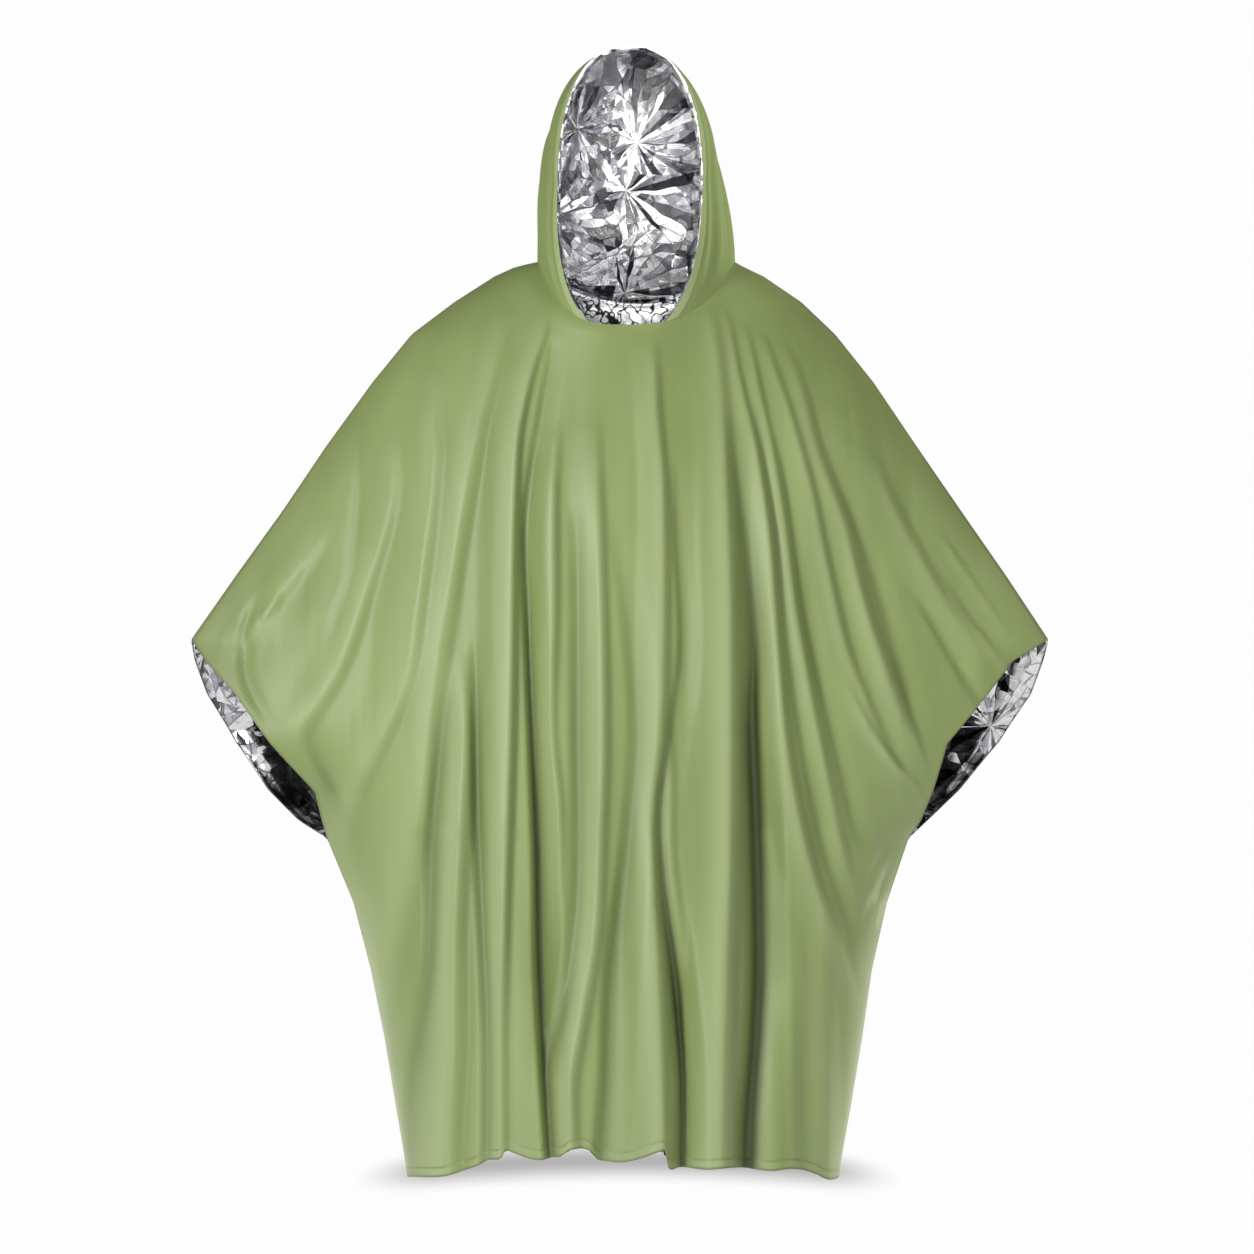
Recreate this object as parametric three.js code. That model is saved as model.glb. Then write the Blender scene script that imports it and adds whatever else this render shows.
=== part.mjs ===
// A hooded rain poncho, worn with nobody in it: a green film shell with a silver foil lining.
//
// Millimetres, +Z up, +X to the viewer's right, the front faces -Y. The origin is the middle of the neck,
// level with the side neck points, where the wearer's shoulders carry the garment.
//
// Every cloth piece is a thin wall. Its outer points come from a surface of two parameters: s runs across
// the piece and t runs down it (on the hood, along a hoop and from hoop to hoop). The inner points are the
// same points moved inwards along the surface's normal, and the lining uses them again, further in.
import * as THREE from "three";

// Driving sizes
const SHELL_THICKNESS = 1.2;
const LINING_THICKNESS = 1.0;
const SEAM_GAP = 0.3;
const HEM_RAISE = 0.8; // how far a turned edge stands proud
const EDGE_POWER = 8; // how close to its edges a section follows the outline's corners
const SPREAD_POWER = 3.5; // how late a section spreads out over the arm
const HALF_PI = Math.PI / 2;

// The silhouette from the front, down the shoulder line, the sleeve's mouth and the side seam. In the mouth
// the front and back edges part: left and right are the back's edge, frontLeft and frontRight the front's.
const OUTLINE = [
  { z: 0, left: -112, right: 135 },
  { z: -6, left: -140, right: 146 },
  { z: -18, left: -166, right: 171 },
  { z: -50, left: -216, right: 218 },
  { z: -90, left: -269, right: 260 },
  { z: -150, left: -318, right: 308 },
  { z: -230, left: -376, right: 362 },
  { z: -310, left: -430, right: 417 },
  { z: -392, left: -489, right: 474 },
  { z: -472, left: -545, right: 527 },
  { z: -498, left: -541, right: 521, frontLeft: -525, frontRight: 481 },
  { z: -540, left: -528, right: 508, frontLeft: -484, frontRight: 446 },
  { z: -600, left: -494, right: 470, frontLeft: -440, frontRight: 395 },
  { z: -660, left: -451, right: 418, frontLeft: -387, frontRight: 379 },
  { z: -698, left: -411, right: 376, frontLeft: -380, frontRight: 366 },
  { z: -720, left: -375, right: 352 },
  { z: -800, left: -342, right: 325 },
  { z: -885, left: -320, right: 306 },
  { z: -970, left: -303, right: 294 },
  { z: -1055, left: -289, right: 280 },
  { z: -1140, left: -274, right: 264 },
];
const SLEEVE_TIP_Z = -472;
const UNDERARM_Z = -720;
const HEM_Z = -1140;
const MOUTH_POWER = 1.2; // how soon the mouth opens below the sleeve's tip
const MOUTH_TURN = { front: 0.31, back: 0.2 }; // how far short of the side each edge of the mouth stops, radians

// How far the body stands in front of and behind the neck's middle, and the half width that hangs straight.
const DEPTHS = [
  { z: 0, front: 108, back: 104, hang: 124 },
  { z: -90, front: 122, back: 126, hang: 205 },
  { z: -230, front: 146, back: 148, hang: 255 },
  { z: -472, front: 156, back: 154, hang: 275 },
  { z: -720, front: 152, back: 150, hang: 290 },
  { z: -1140, front: 166, back: 164, hang: 269 },
];

// How far the middle of a row lies below its ends: the neckline dips at the throat, the hem rises.
const NECK_DIP = { front: -88, back: -38 };
const HEM_LIFT = { front: 48, back: 40 };

// Long soft folds. Each has the widths of its two flanks and a track down the piece: height, where across
// the fold lies, and how far it stands out there, negative for a trough.
const FRONT_FOLDS = [
  { left: 21, right: 15, track: [[-90, -103, 0], [-150, -119, 8], [-243, -135, 14], [-580, -142, 17],
    [-772, -149, 16], [-917, -154, 15], [-1200, -154, 14]] },
  { left: 15, right: 15, track: [[-130, -104, 0], [-243, -115, -4], [-436, -120, -10], [-580, -114, -14],
    [-724, -108, -16], [-869, -105, -16], [-1013, -97, -14], [-1200, -84, -12]] },
  { left: 26, right: 22, track: [[-90, -152, 0], [-195, -179, 8], [-291, -197, 10], [-484, -229, 11],
    [-676, -255, 10], [-772, -271, 8], [-869, -289, 4], [-940, -300, 0]] },
  { left: 20, right: 20, track: [[-470, -203, 0], [-560, -198, 9], [-676, -202, 16], [-820, -211, 18],
    [-965, -212, 17], [-1200, -219, 16]] },
  { left: 16, right: 16, track: [[-520, -222, 0], [-620, -228, -6], [-724, -236, -8], [-869, -241, -9],
    [-1013, -262, -5], [-1200, -266, -4]] },
  { left: 15, right: 15, track: [[-450, -183, 0], [-580, -183, -5], [-772, -176, -8], [-965, -168, -8],
    [-1200, -171, -7]] },
  { left: 16, right: 14, track: [[-240, -88, 0], [-320, -89, 8], [-580, -93, 9], [-676, -84, 9],
    [-772, -84, 6], [-840, -84, 0]] },
  { left: 15, right: 15, track: [[-300, -62, 0], [-400, -60, -5], [-772, -60, -8], [-917, -77, -8],
    [-1000, -94, 0]] },
  { left: 18, right: 15, track: [[-240, -38, 0], [-330, -34, 8], [-436, -32, 10], [-600, -30, 11],
    [-724, -35, 11], [-821, -40, 12], [-917, -55, 13], [-1013, -70, 12], [-1200, -63, 12]] },
  { left: 16, right: 16, track: [[-300, -20, 0], [-436, 0, -4], [-580, 11, -7], [-724, 0, -9],
    [-869, -17, -10], [-1013, -24, -10], [-1200, -38, -9]] },
  { left: 17, right: 16, track: [[-120, 32, 0], [-195, 35, 7], [-291, 42, 10], [-532, 41, 10],
    [-676, 30, 10], [-869, 36, 13], [-1061, 42, 12], [-1200, 42, 12]] },
  { left: 14, right: 14, track: [[-700, 48, 0], [-772, 47, -7], [-840, 52, -13], [-917, 60, -17],
    [-1013, 66, -15], [-1200, 65, -12]] },
  { left: 20, right: 15, track: [[-130, 110, 0], [-195, 115, 8], [-291, 119, 12], [-436, 123, 14],
    [-724, 123, 15], [-869, 118, 15], [-1061, 113, 14], [-1200, 113, 14]] },
  { left: 15, right: 17, track: [[-240, 134, 0], [-340, 144, -8], [-484, 153, -17], [-580, 152, -21],
    [-724, 157, -24], [-869, 160, -24], [-965, 156, -23], [-1200, 147, -19]] },
  { left: 18, right: 15, track: [[-100, 128, 0], [-147, 135, 5], [-243, 156, 9], [-339, 170, 11],
    [-436, 177, 12], [-580, 190, 12], [-676, 206, 12], [-772, 231, 10], [-869, 266, 6], [-930, 285, 0]] },
  { left: 15, right: 14, track: [[-160, 165, 0], [-243, 176, 5], [-339, 191, 7], [-436, 203, 7],
    [-532, 221, 7], [-628, 241, 7], [-724, 263, 5], [-790, 280, 0]] },
  { left: 18, right: 16, track: [[-150, 188, 0], [-195, 198, 5], [-291, 224, 8], [-387, 244, 9],
    [-484, 267, 9], [-580, 305, 7], [-690, 350, 0]] },
  { left: 18, right: 18, track: [[-150, 220, 0], [-243, 238, 6], [-339, 268, 8], [-436, 290, 8],
    [-532, 319, 7], [-650, 355, 0]] },
  { left: 20, right: 20, track: [[-230, 300, 0], [-291, 321, 4], [-387, 370, 6], [-484, 431, 5], [-540, 450, 0]] },
  { left: 24, right: 22, track: [[-120, -238, 0], [-195, -240, 4], [-243, -239, 7], [-339, -245, 9],
    [-436, -259, 10], [-532, -275, 9], [-628, -318, 7], [-740, -350, 0]] },
  { left: 22, right: 20, track: [[-190, -298, 0], [-291, -290, 5], [-387, -314, 7], [-484, -345, 8],
    [-532, -368, 7], [-620, -415, 0]] },
  { left: 20, right: 20, track: [[-760, 236, 0], [-900, 240, 5], [-1061, 248, 6], [-1200, 250, 6]] },
];
const BACK_FOLDS = [
  { left: 26, right: 24, track: [[-200, -290, 0], [-330, -322, 7], [-430, -352, 9], [-540, -396, 7], [-640, -440, 0]] },
  { left: 26, right: 24, track: [[-150, -210, 0], [-330, -246, 9], [-500, -276, 11], [-680, -304, 8], [-820, -330, 0]] },
  { left: 26, right: 22, track: [[-110, -140, 0], [-280, -182, 13], [-560, -206, 16], [-860, -214, 16], [-1200, -216, 15]] },
  { left: 16, right: 16, track: [[-420, -168, 0], [-640, -170, -10], [-900, -170, -12], [-1200, -168, -11]] },
  { left: 22, right: 20, track: [[-90, -96, 0], [-260, -118, 12], [-560, -128, 16], [-860, -126, 16], [-1200, -122, 15]] },
  { left: 16, right: 16, track: [[-380, -82, 0], [-620, -84, -12], [-900, -82, -14], [-1200, -76, -13]] },
  { left: 22, right: 20, track: [[-240, -44, 0], [-420, -42, 10], [-700, -40, 13], [-1200, -30, 13]] },
  { left: 17, right: 17, track: [[-520, 4, 0], [-700, 8, -9], [-920, 12, -11], [-1200, 16, -11]] },
  { left: 22, right: 20, track: [[-180, 46, 0], [-380, 51, 11], [-700, 54, 14], [-1200, 62, 14]] },
  { left: 17, right: 16, track: [[-460, 92, 0], [-660, 96, -12], [-900, 100, -14], [-1200, 106, -14]] },
  { left: 22, right: 20, track: [[-100, 104, 0], [-280, 128, 12], [-560, 142, 15], [-860, 148, 15], [-1200, 150, 14]] },
  { left: 16, right: 16, track: [[-520, 176, 0], [-700, 184, -8], [-920, 190, -10], [-1200, 190, -9]] },
  { left: 22, right: 22, track: [[-120, 150, 0], [-300, 188, 11], [-560, 222, 13], [-800, 246, 9], [-1000, 262, 0]] },
  { left: 24, right: 22, track: [[-170, 214, 0], [-330, 258, 8], [-480, 300, 9], [-600, 340, 6], [-700, 372, 0]] },
  { left: 24, right: 24, track: [[-230, 300, 0], [-330, 340, 6], [-430, 390, 7], [-560, 458, 0]] },
];
const FOLD_START = 60; // a fold rises over this much of its length

// Where the front hem rises above or drops below its smooth line.
const HEM_WAVES = [
  { x: -262, rise: 0 },
  { x: -193, rise: 0 },
  { x: -160, rise: 9 },
  { x: -147, rise: 10 },
  { x: -140, rise: 3 },
  { x: -112, rise: 0 },
  { x: -73, rise: 0 },
  { x: -65, rise: 9 },
  { x: -45, rise: 9 },
  { x: -30, rise: -6 },
  { x: -8, rise: -6 },
  { x: 25, rise: 4 },
  { x: 46, rise: 11 },
  { x: 54, rise: -12 },
  { x: 136, rise: -10 },
  { x: 164, rise: -7 },
  { x: 222, rise: 4 },
  { x: 262, rise: 0 },
];
const BACK_HEM_WAVES = [
  { x: -262, rise: 0 },
  { x: -205, rise: 6 },
  { x: -168, rise: -4 },
  { x: -120, rise: 7 },
  { x: -78, rise: -5 },
  { x: -32, rise: 6 },
  { x: 14, rise: -4 },
  { x: 60, rise: 7 },
  { x: 104, rise: -5 },
  { x: 150, rise: 6 },
  { x: 196, rise: -4 },
  { x: 262, rise: 0 },
];

// The hood is a fan of hoops that stand on the neckline and lean further back from the face opening to the
// nape. foot is the angle round the neck where a hoop stands, 0 at the throat and 180 at the nape; crownY
// and crownZ are its highest point; half is its half width, and round its squareness (2 is an ellipse).
const HOOPS = [
  { foot: 22, crownY: -70, crownZ: 258, half: 88, round: 2.3 },
  { foot: 34, crownY: -40, crownZ: 260, half: 98, round: 2.35 },
  { foot: 58, crownY: 10, crownZ: 262, half: 112, round: 2.35 },
  { foot: 84, crownY: 70, crownZ: 241, half: 118, round: 2.35 },
  { foot: 104, crownY: 116, crownZ: 184, half: 118, round: 2.3 },
  { foot: 122, crownY: 138, crownZ: 106, half: 108, round: 2.2 },
  { foot: 138, crownY: 134, crownZ: 26, half: 90, round: 2.1 },
  { foot: 152, crownY: 104, crownZ: -38, half: 62, round: 2 },
];
const NECK_CENTRE_X = 11.5;
const THROAT_SHIFT = 14; // how far the throat lies to the left of the neck's middle
const THROAT_END_Z = -90; // where the body below it no longer does
const CROWN_CENTRE_X = 4;
const NECK_HALF = 123.5; // half the neckline's width
const HOOD_LIFT = 0.6; // the hood's foot stands this far above the body's neckline

// How finely each piece is divided
const COLUMNS = { front: 60, back: 42, hood: 12 };
const CENTRE_SHARE = 0.22; // how much closer the columns stand in the middle than on the whole
const HOOD_ROWS = 11;
const RIM_ROW = 0.062; // where the turned face opening ends, as a share of the way to the nape
const BODY_ROWS_Z = {
  front: [0, -18, -50, -90, -150, -230, -350, -472, -498, -540, -600, -660, -698, -720, -830, -970, -1127, HEM_Z],
  back: [0, -18, -50, -90, -180, -320, -472, -498, -540, -600, -660, -698, -720, -850, -990, -1127, HEM_Z],
};

const clamp01 = (x) => Math.min(1, Math.max(0, x));
const smooth = (x) => clamp01(x) ** 2 * (3 - 2 * clamp01(x));
const mix = (a, b, f) => a + (b - a) * f;

// A table read at one place: rows are sorted along the column named key, and the column named value is
// followed by a cubic whose slope at each row is the mean of the two steps beside it.
function read(table, key, at, value) {
  const up = table[table.length - 1][key] > table[0][key] ? 1 : -1;
  const last = table.length - 1;
  let i = 0;
  while (i < last - 1 && (at - table[i + 1][key]) * up > 0) i++;
  const slope = (k) => {
    const a = table[Math.max(0, k - 1)];
    const b = table[Math.min(last, k + 1)];
    return (value(b) - value(a)) / (b[key] - a[key]);
  };
  const [from, to] = [table[i], table[i + 1]];
  const span = to[key] - from[key];
  const f = clamp01((at - from[key]) / span);
  const [f2, f3] = [f * f, f * f * f];
  return (
    (2 * f3 - 3 * f2 + 1) * value(from) +
    (f3 - 2 * f2 + f) * slope(i) * span +
    (3 * f2 - 2 * f3) * value(to) +
    (f3 - f2) * slope(i + 1) * span
  );
}

// The same, with straight lines between the rows, where the outline has corners.
function readStraight(table, key, at, value) {
  const up = table[table.length - 1][key] > table[0][key] ? 1 : -1;
  let i = 0;
  while (i < table.length - 2 && (at - table[i + 1][key]) * up > 0) i++;
  const [from, to] = [table[i], table[i + 1]];
  return mix(value(from), value(to), clamp01((at - from[key]) / (to[key] - from[key])));
}

// 0 outside the sleeve's mouth, rising to 1 halfway down it.
const mouthOpen = (z) =>
  Math.sin(Math.PI * clamp01((SLEEVE_TIP_Z - z) / (SLEEVE_TIP_Z - UNDERARM_Z))) ** MOUTH_POWER;

// What all the folds of one side add at (x, z): a bell across each fold, with its own two flanks.
function foldHeight(folds, x, z) {
  let sum = 0;
  for (const { left, right, track } of folds) {
    const away = x - read(track, 0, z, (row) => row[1]);
    const width = away < 0 ? left : right;
    if (Math.abs(away) > 3 * width) continue;
    const stands = readStraight(track, 0, z, (row) => row[2]) * smooth((track[0][0] - z) / FOLD_START);
    sum += stands * Math.exp(-((away / width) ** 2));
  }
  return sum;
}

// The neckline's middle and height at an angle round the neck, 0 at the throat.
const neckX = (angle) => NECK_CENTRE_X - THROAT_SHIFT * Math.max(0, Math.cos(angle)) ** 2;
function neckZ(angle) {
  const dip = Math.cos(angle) > 0 ? NECK_DIP.front : NECK_DIP.back;
  return dip * (1 - Math.abs(Math.sin(angle)) ** 3);
}

// How far the front's edge of the mouth lies inside the silhouette.
function frontInset(z, end, edge) {
  const name = end === "left" ? "frontLeft" : "frontRight";
  const own = readStraight(OUTLINE, "z", z, (r) => r[name] ?? r[end]);
  return Math.abs(edge - own);
}

// A point of the body's outer face. side is "front" or "back"; s runs from -1 at the left edge to 1 at the
// right one, and z is the height of the row's ends, so that a row starts at the shoulder line, the mouth's
// edge or the side seam, crosses the body, and ends level with its start.
function bodyPoint(side, s, z) {
  const front = side === "front";
  // The edges keep the outline's corners, and the surface between them runs through them smoothly.
  const [left, right] = ["left", "right"].map((name) => {
    const [soft, sharp] = [read, readStraight].map((reader) => reader(OUTLINE, "z", z, (r) => r[name]));
    return mix(soft, sharp, Math.abs(s) ** EDGE_POWER);
  });
  const centre = (left + right) / 2;
  const half = (right - left) / 2;
  const hang = Math.min(half, read(DEPTHS, "z", z, (r) => r.hang));
  const outer = clamp01(2 * Math.abs(s) - 1) ** 1.5;

  // In the mouth the section stops short of the side, and only its outer half is drawn in for it.
  const open = mouthOpen(z);
  const cut = MOUTH_TURN[side] * open;
  const turn = HALF_PI * Math.abs(s) - cut * outer;
  const [sin, cos] = [Math.sin(turn), Math.cos(turn)];
  const reach = hang * sin + (half - hang * Math.cos(cut)) * Math.abs(s) ** SPREAD_POWER;
  const drawnIn = front ? (s < 0 ? frontInset(z, "left", left) : frontInset(z, "right", right)) : 0;
  const throat = front ? THROAT_SHIFT * cos * cos * (1 - smooth(z / THROAT_END_Z)) : 0;
  const x = centre + Math.sign(s) * (reach - drawnIn * outer) - throat;

  const down = clamp01(z / HEM_Z);
  const lift = mix(NECK_DIP[side], HEM_LIFT[side], smooth(down));
  const waves = front ? HEM_WAVES : BACK_HEM_WAVES;
  const ripple = readStraight(waves, "x", x, (r) => r.rise) * smooth((down - 0.8) / 0.2);
  const fade = smooth((1 - Math.abs(s)) / 0.1);
  const height = z + lift * (1 - Math.sin(HALF_PI * Math.abs(s)) ** 3) + ripple * fade;

  const folds = foldHeight(front ? FRONT_FOLDS : BACK_FOLDS, x, height) * mix(fade, 1, open);
  const depth = read(DEPTHS, "z", z, (r) => r[side]) * cos + folds;
  return new THREE.Vector3(x, front ? -depth : depth, height);
}

// A point of the neckline at an angle round the neck, where the hood stands.
const neckPoint = (angle) =>
  new THREE.Vector3(
    neckX(angle) + NECK_HALF * Math.sin(angle),
    -(Math.cos(angle) > 0 ? DEPTHS[0].front : DEPTHS[0].back) * Math.cos(angle),
    neckZ(angle),
  );

// The body's edge there: straight from one of the hood's feet to the next, as the hood's own foot is.
function neckEdge(angle) {
  const turned = Math.abs(angle);
  const next = FEET.findIndex((foot) => foot > turned);
  if (next < 1) return neckPoint(angle);
  const [from, to] = [FEET[next - 1], FEET[next]];
  const sign = Math.sign(angle);
  return neckPoint(from * sign).lerp(neckPoint(to * sign), (turned - from) / (to - from));
}

const placedHoops = HOOPS.map((row, i) => ({ ...row, place: i / (HOOPS.length - 1) }));
const hoopAt = (back, name) => read(placedHoops, "place", back, (r) => r[name]);

// Hoops are spaced evenly, but the second one marks the inner edge of the turned opening.
const backOf = (i) => (i <= 1 ? i * RIM_ROW : mix(RIM_ROW, 1, (i - 1) / (HOOD_ROWS - 1)));
const FEET = Array.from({ length: HOOD_ROWS + 1 }, (_, i) =>
  THREE.MathUtils.degToRad(hoopAt(backOf(i), "foot")),
);

// A point of the hood's outer face: back runs from 0 at the face opening to 1 at the nape, and s runs along
// the hoop from -1 at its left foot over the crown to 1 at its right foot.
function hoodPoint(back, s) {
  const at = (name) => hoopAt(back, name);
  const foot = THREE.MathUtils.degToRad(at("foot"));
  const base = neckPoint(foot);
  base.z += HOOD_LIFT;
  const baseHalf = NECK_HALF * Math.sin(foot);
  const half = Math.max(at("half"), baseHalf);
  const round = at("round");
  // The hoop is an ellipse cut off below its middle, where it has narrowed to the width of its feet.
  const reach = Math.PI - Math.asin((baseHalf / half) ** (round / 2));
  const power = (v) => Math.sign(v) * Math.abs(v) ** (2 / round);
  const low = power(Math.cos(reach));
  const rise = (power(Math.cos(s * reach)) - low) / (1 - low);
  const point = new THREE.Vector3(
    mix(neckX(foot), CROWN_CENTRE_X, smooth(rise / 0.6)) + half * power(Math.sin(s * reach)),
    mix(base.y, at("crownY"), rise),
    mix(base.z, at("crownZ"), rise),
  );
  // The last hoop is drawn on to the neckline itself.
  const nape = neckPoint(Math.PI - (Math.PI - foot) * s);
  nape.z += HOOD_LIFT;
  return point.lerp(nape, smooth((back - 0.8) / 0.2) ** 2);
}

// A grid of outer points and, at each, the normal of the points round it. outward is 1 or -1, for the side
// of the grid that faces out.
function gridOf(points, outward) {
  const [rows, columns] = [points.length - 1, points[0].length - 1];
  return points.map((row, i) =>
    row.map((point, j) => {
      const along = points[Math.min(rows, i + 1)][j].clone().sub(points[Math.max(0, i - 1)][j]);
      const across = row[Math.min(columns, j + 1)].clone().sub(row[Math.max(0, j - 1)]);
      const normal = new THREE.Vector3().crossVectors(across, along).normalize().multiplyScalar(outward);
      return { point, normal };
    }),
  );
}

// A closed wall from a grid: the points moved in by from, and again by to, joined round the edges.
// raise(i, j) adds to the outer face where an edge is turned. outward is the grid's own, and turns the faces.
function wallOf(grid, outward, from, to, raise = () => 0) {
  const [rows, columns] = [grid.length - 1, grid[0].length - 1];
  const positions = [];
  for (const inner of [false, true])
    grid.forEach((row, i) =>
      row.forEach(({ point, normal }, j) => {
        const depth = inner ? to : from - raise(i, j);
        positions.push(...point.clone().addScaledVector(normal, -depth).toArray());
      }),
    );
  const at = (i, j, inner) => (inner ? (rows + 1) * (columns + 1) : 0) + i * (columns + 1) + j;
  const faces = [];
  const quad = (a, b, c, d) => {
    if (outward < 0) faces.push(a, b, c, a, c, d);
    else faces.push(a, c, b, a, d, c);
  };
  for (let i = 0; i < rows; i++)
    for (let j = 0; j < columns; j++) {
      quad(at(i, j, 0), at(i + 1, j, 0), at(i + 1, j + 1, 0), at(i, j + 1, 0));
      quad(at(i, j, 1), at(i, j + 1, 1), at(i + 1, j + 1, 1), at(i + 1, j, 1));
    }
  for (let j = 0; j < columns; j++) {
    quad(at(0, j, 0), at(0, j + 1, 0), at(0, j + 1, 1), at(0, j, 1));
    quad(at(rows, j, 0), at(rows, j, 1), at(rows, j + 1, 1), at(rows, j + 1, 0));
  }
  for (let i = 0; i < rows; i++) {
    quad(at(i, 0, 0), at(i, 0, 1), at(i + 1, 0, 1), at(i + 1, 0, 0));
    quad(at(i, columns, 0), at(i + 1, columns, 0), at(i + 1, columns, 1), at(i, columns, 1));
  }
  const geometry = new THREE.BufferGeometry();
  geometry.setAttribute("position", new THREE.Float32BufferAttribute(positions, 3));
  geometry.setIndex(faces);
  geometry.computeVertexNormals();
  return geometry;
}

// The body panels' grids. Where front and back meet, their edges stand half a seam gap either side of y = 0
// and their normals lie along the seam's plane, so that the walls end face to face.
function bodyGrid(side) {
  const columns = COLUMNS[side];
  const front = side === "front";
  const acrossAt = (j) => {
    const even = (2 * j) / columns - 1;
    return even - (CENTRE_SHARE * Math.sin(Math.PI * even)) / Math.PI;
  };
  const neckAt = (j) => {
    const angle = HALF_PI * acrossAt(j);
    return neckEdge(front ? angle : (angle < 0 ? -Math.PI : Math.PI) - angle);
  };
  const points = BODY_ROWS_Z[side].map((z, i) =>
    Array.from({ length: columns + 1 }, (_, j) => {
      const point = i === 0 ? neckAt(j) : bodyPoint(side, acrossAt(j), z);
      point.y += front ? -SEAM_GAP / 2 : SEAM_GAP / 2;
      return point;
    }),
  );
  const grid = gridOf(points, front ? -1 : 1);
  grid.forEach((row, i) => {
    if (mouthOpen(BODY_ROWS_Z[side][i]) > 1e-6) return;
    for (const edge of [row[0], row[columns]]) edge.normal.setY(0).normalize();
  });
  return grid;
}

// One half of the hood, from the crown's middle line down to the neckline on its own side. Its normals are
// level at the neckline, so that the wall stands square on it.
function hoodGrid(side) {
  const points = Array.from({ length: HOOD_ROWS + 1 }, (_, i) =>
    Array.from({ length: COLUMNS.hood + 1 }, (_, j) => {
      const point = hoodPoint(backOf(i), (j / COLUMNS.hood) * side);
      point.x += (side * SEAM_GAP) / 2;
      return point;
    }),
  );
  const grid = gridOf(points, side);
  for (const row of grid) row[COLUMNS.hood].normal.setZ(0).normalize();
  for (const edge of grid[HOOD_ROWS]) edge.normal.setZ(0).normalize();
  for (const row of grid) row[0].normal.setX(0).normalize();
  return grid;
}

const FILM = new THREE.MeshStandardMaterial({ color: 0x90a466, roughness: 0.42, metalness: 0, side: THREE.DoubleSide });
const FOIL = new THREE.MeshStandardMaterial({ color: 0xc6c7cc, roughness: 0.22, metalness: 0.95, side: THREE.DoubleSide });

function piece(name, geometry, material) {
  const mesh = new THREE.Mesh(geometry, material.clone());
  mesh.name = name;
  return mesh;
}

const poncho = new THREE.Group();
const LINING_FROM = SHELL_THICKNESS + SEAM_GAP;
const LINING_TO = LINING_FROM + LINING_THICKNESS;

for (const side of ["front", "back"]) {
  const grid = bodyGrid(side);
  const outward = side === "front" ? -1 : 1;
  const hem = (i) => (i === grid.length - 1 ? HEM_RAISE : 0);
  poncho.add(piece(`${side}_panel`, wallOf(grid, outward, 0, SHELL_THICKNESS, hem), FILM));
  poncho.add(piece(`${side}_lining`, wallOf(grid, outward, LINING_FROM, LINING_TO), FOIL));
}
for (const [name, side] of [["left", -1], ["right", 1]]) {
  const grid = hoodGrid(side);
  const rim = (i) => (i <= 1 ? HEM_RAISE : 0);
  poncho.add(piece(`hood_${name}`, wallOf(grid, side, 0, SHELL_THICKNESS, rim), FILM));
  poncho.add(piece(`hood_lining_${name}`, wallOf(grid, side, LINING_FROM, LINING_TO), FOIL));
}

export default poncho;
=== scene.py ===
# %% [markdown]
# # Rain poncho
# A hooded rain poncho stands filled out as if worn, with nobody in it. Its outside is smooth green film and
# its inside is crinkled silver foil, which shows in the hood and in both sleeve mouths. The solids give the
# form and the size. Here each piece becomes a fine sheet on the same form, with the folds and creases that
# real film takes. Metres, +Z up, and the front faces -Y. The origin is the middle of the neck.

import bpy
import numpy as np
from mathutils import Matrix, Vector


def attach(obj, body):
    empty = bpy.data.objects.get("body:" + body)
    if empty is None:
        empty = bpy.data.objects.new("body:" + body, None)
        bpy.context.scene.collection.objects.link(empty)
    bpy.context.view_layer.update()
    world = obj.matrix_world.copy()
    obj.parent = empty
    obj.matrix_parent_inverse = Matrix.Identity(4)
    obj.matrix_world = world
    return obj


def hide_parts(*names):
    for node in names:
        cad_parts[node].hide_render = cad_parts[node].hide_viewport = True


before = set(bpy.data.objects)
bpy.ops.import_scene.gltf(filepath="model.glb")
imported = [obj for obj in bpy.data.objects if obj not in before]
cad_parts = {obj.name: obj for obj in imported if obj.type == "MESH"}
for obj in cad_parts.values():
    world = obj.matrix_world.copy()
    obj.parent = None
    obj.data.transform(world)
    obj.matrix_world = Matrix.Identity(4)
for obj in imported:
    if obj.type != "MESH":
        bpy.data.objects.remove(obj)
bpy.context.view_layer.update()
print("solids:", sorted(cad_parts))

MM = 0.001
FILM_THICKNESS = 1.5  # millimetres from the film's face to the foil's, as in the solids
HEM_WIDTH = 11  # millimetres, the turned edge of the hem and of the face opening
HEM_RAISE = 0.7
RIM_WIDTH = 19
# painted shade along the shoulder seams: how far it reaches, and how dark it is
SHOULDER_SHADE = 70  # how far the darker film along the shoulder seams reaches
SHOULDER_PAINTED_SHADE = 0.16
SEAM_WIDTH = 4
SEAM_GAP = 0.02
NECK_CENTRE_X = 11.5
NECK_HALF = 123.5
THROAT_SHIFT = 14  # how far the throat lies to the left of the neck's middle
THROAT_END_Z = -90
CROWN_CENTRE_X = 4
SLEEVE_TIP_Z = -472
UNDERARM_Z = -720
HEM_Z = -1140

# %% [markdown]
# ## Curves from a few sizes
# The garment's outline, depth and folds change down its length. Each is given by a few rows of sizes in
# millimetres, and a smooth curve is drawn through them, so that a size can be changed in one place.


# %% Helpers for curves
def smooth(x):
    """An S-shaped step: 0 up to 0, 1 from 1 on, and 3x^2 - 2x^3 between."""
    x = np.clip(x, 0, 1)
    return x * x * (3 - 2 * x)


def hump(away, width):
    """1 at a distance of 0, falling to 0 on both sides: exp(-(distance / width)^2)."""
    return np.exp(-((away / width) ** 2))


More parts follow.
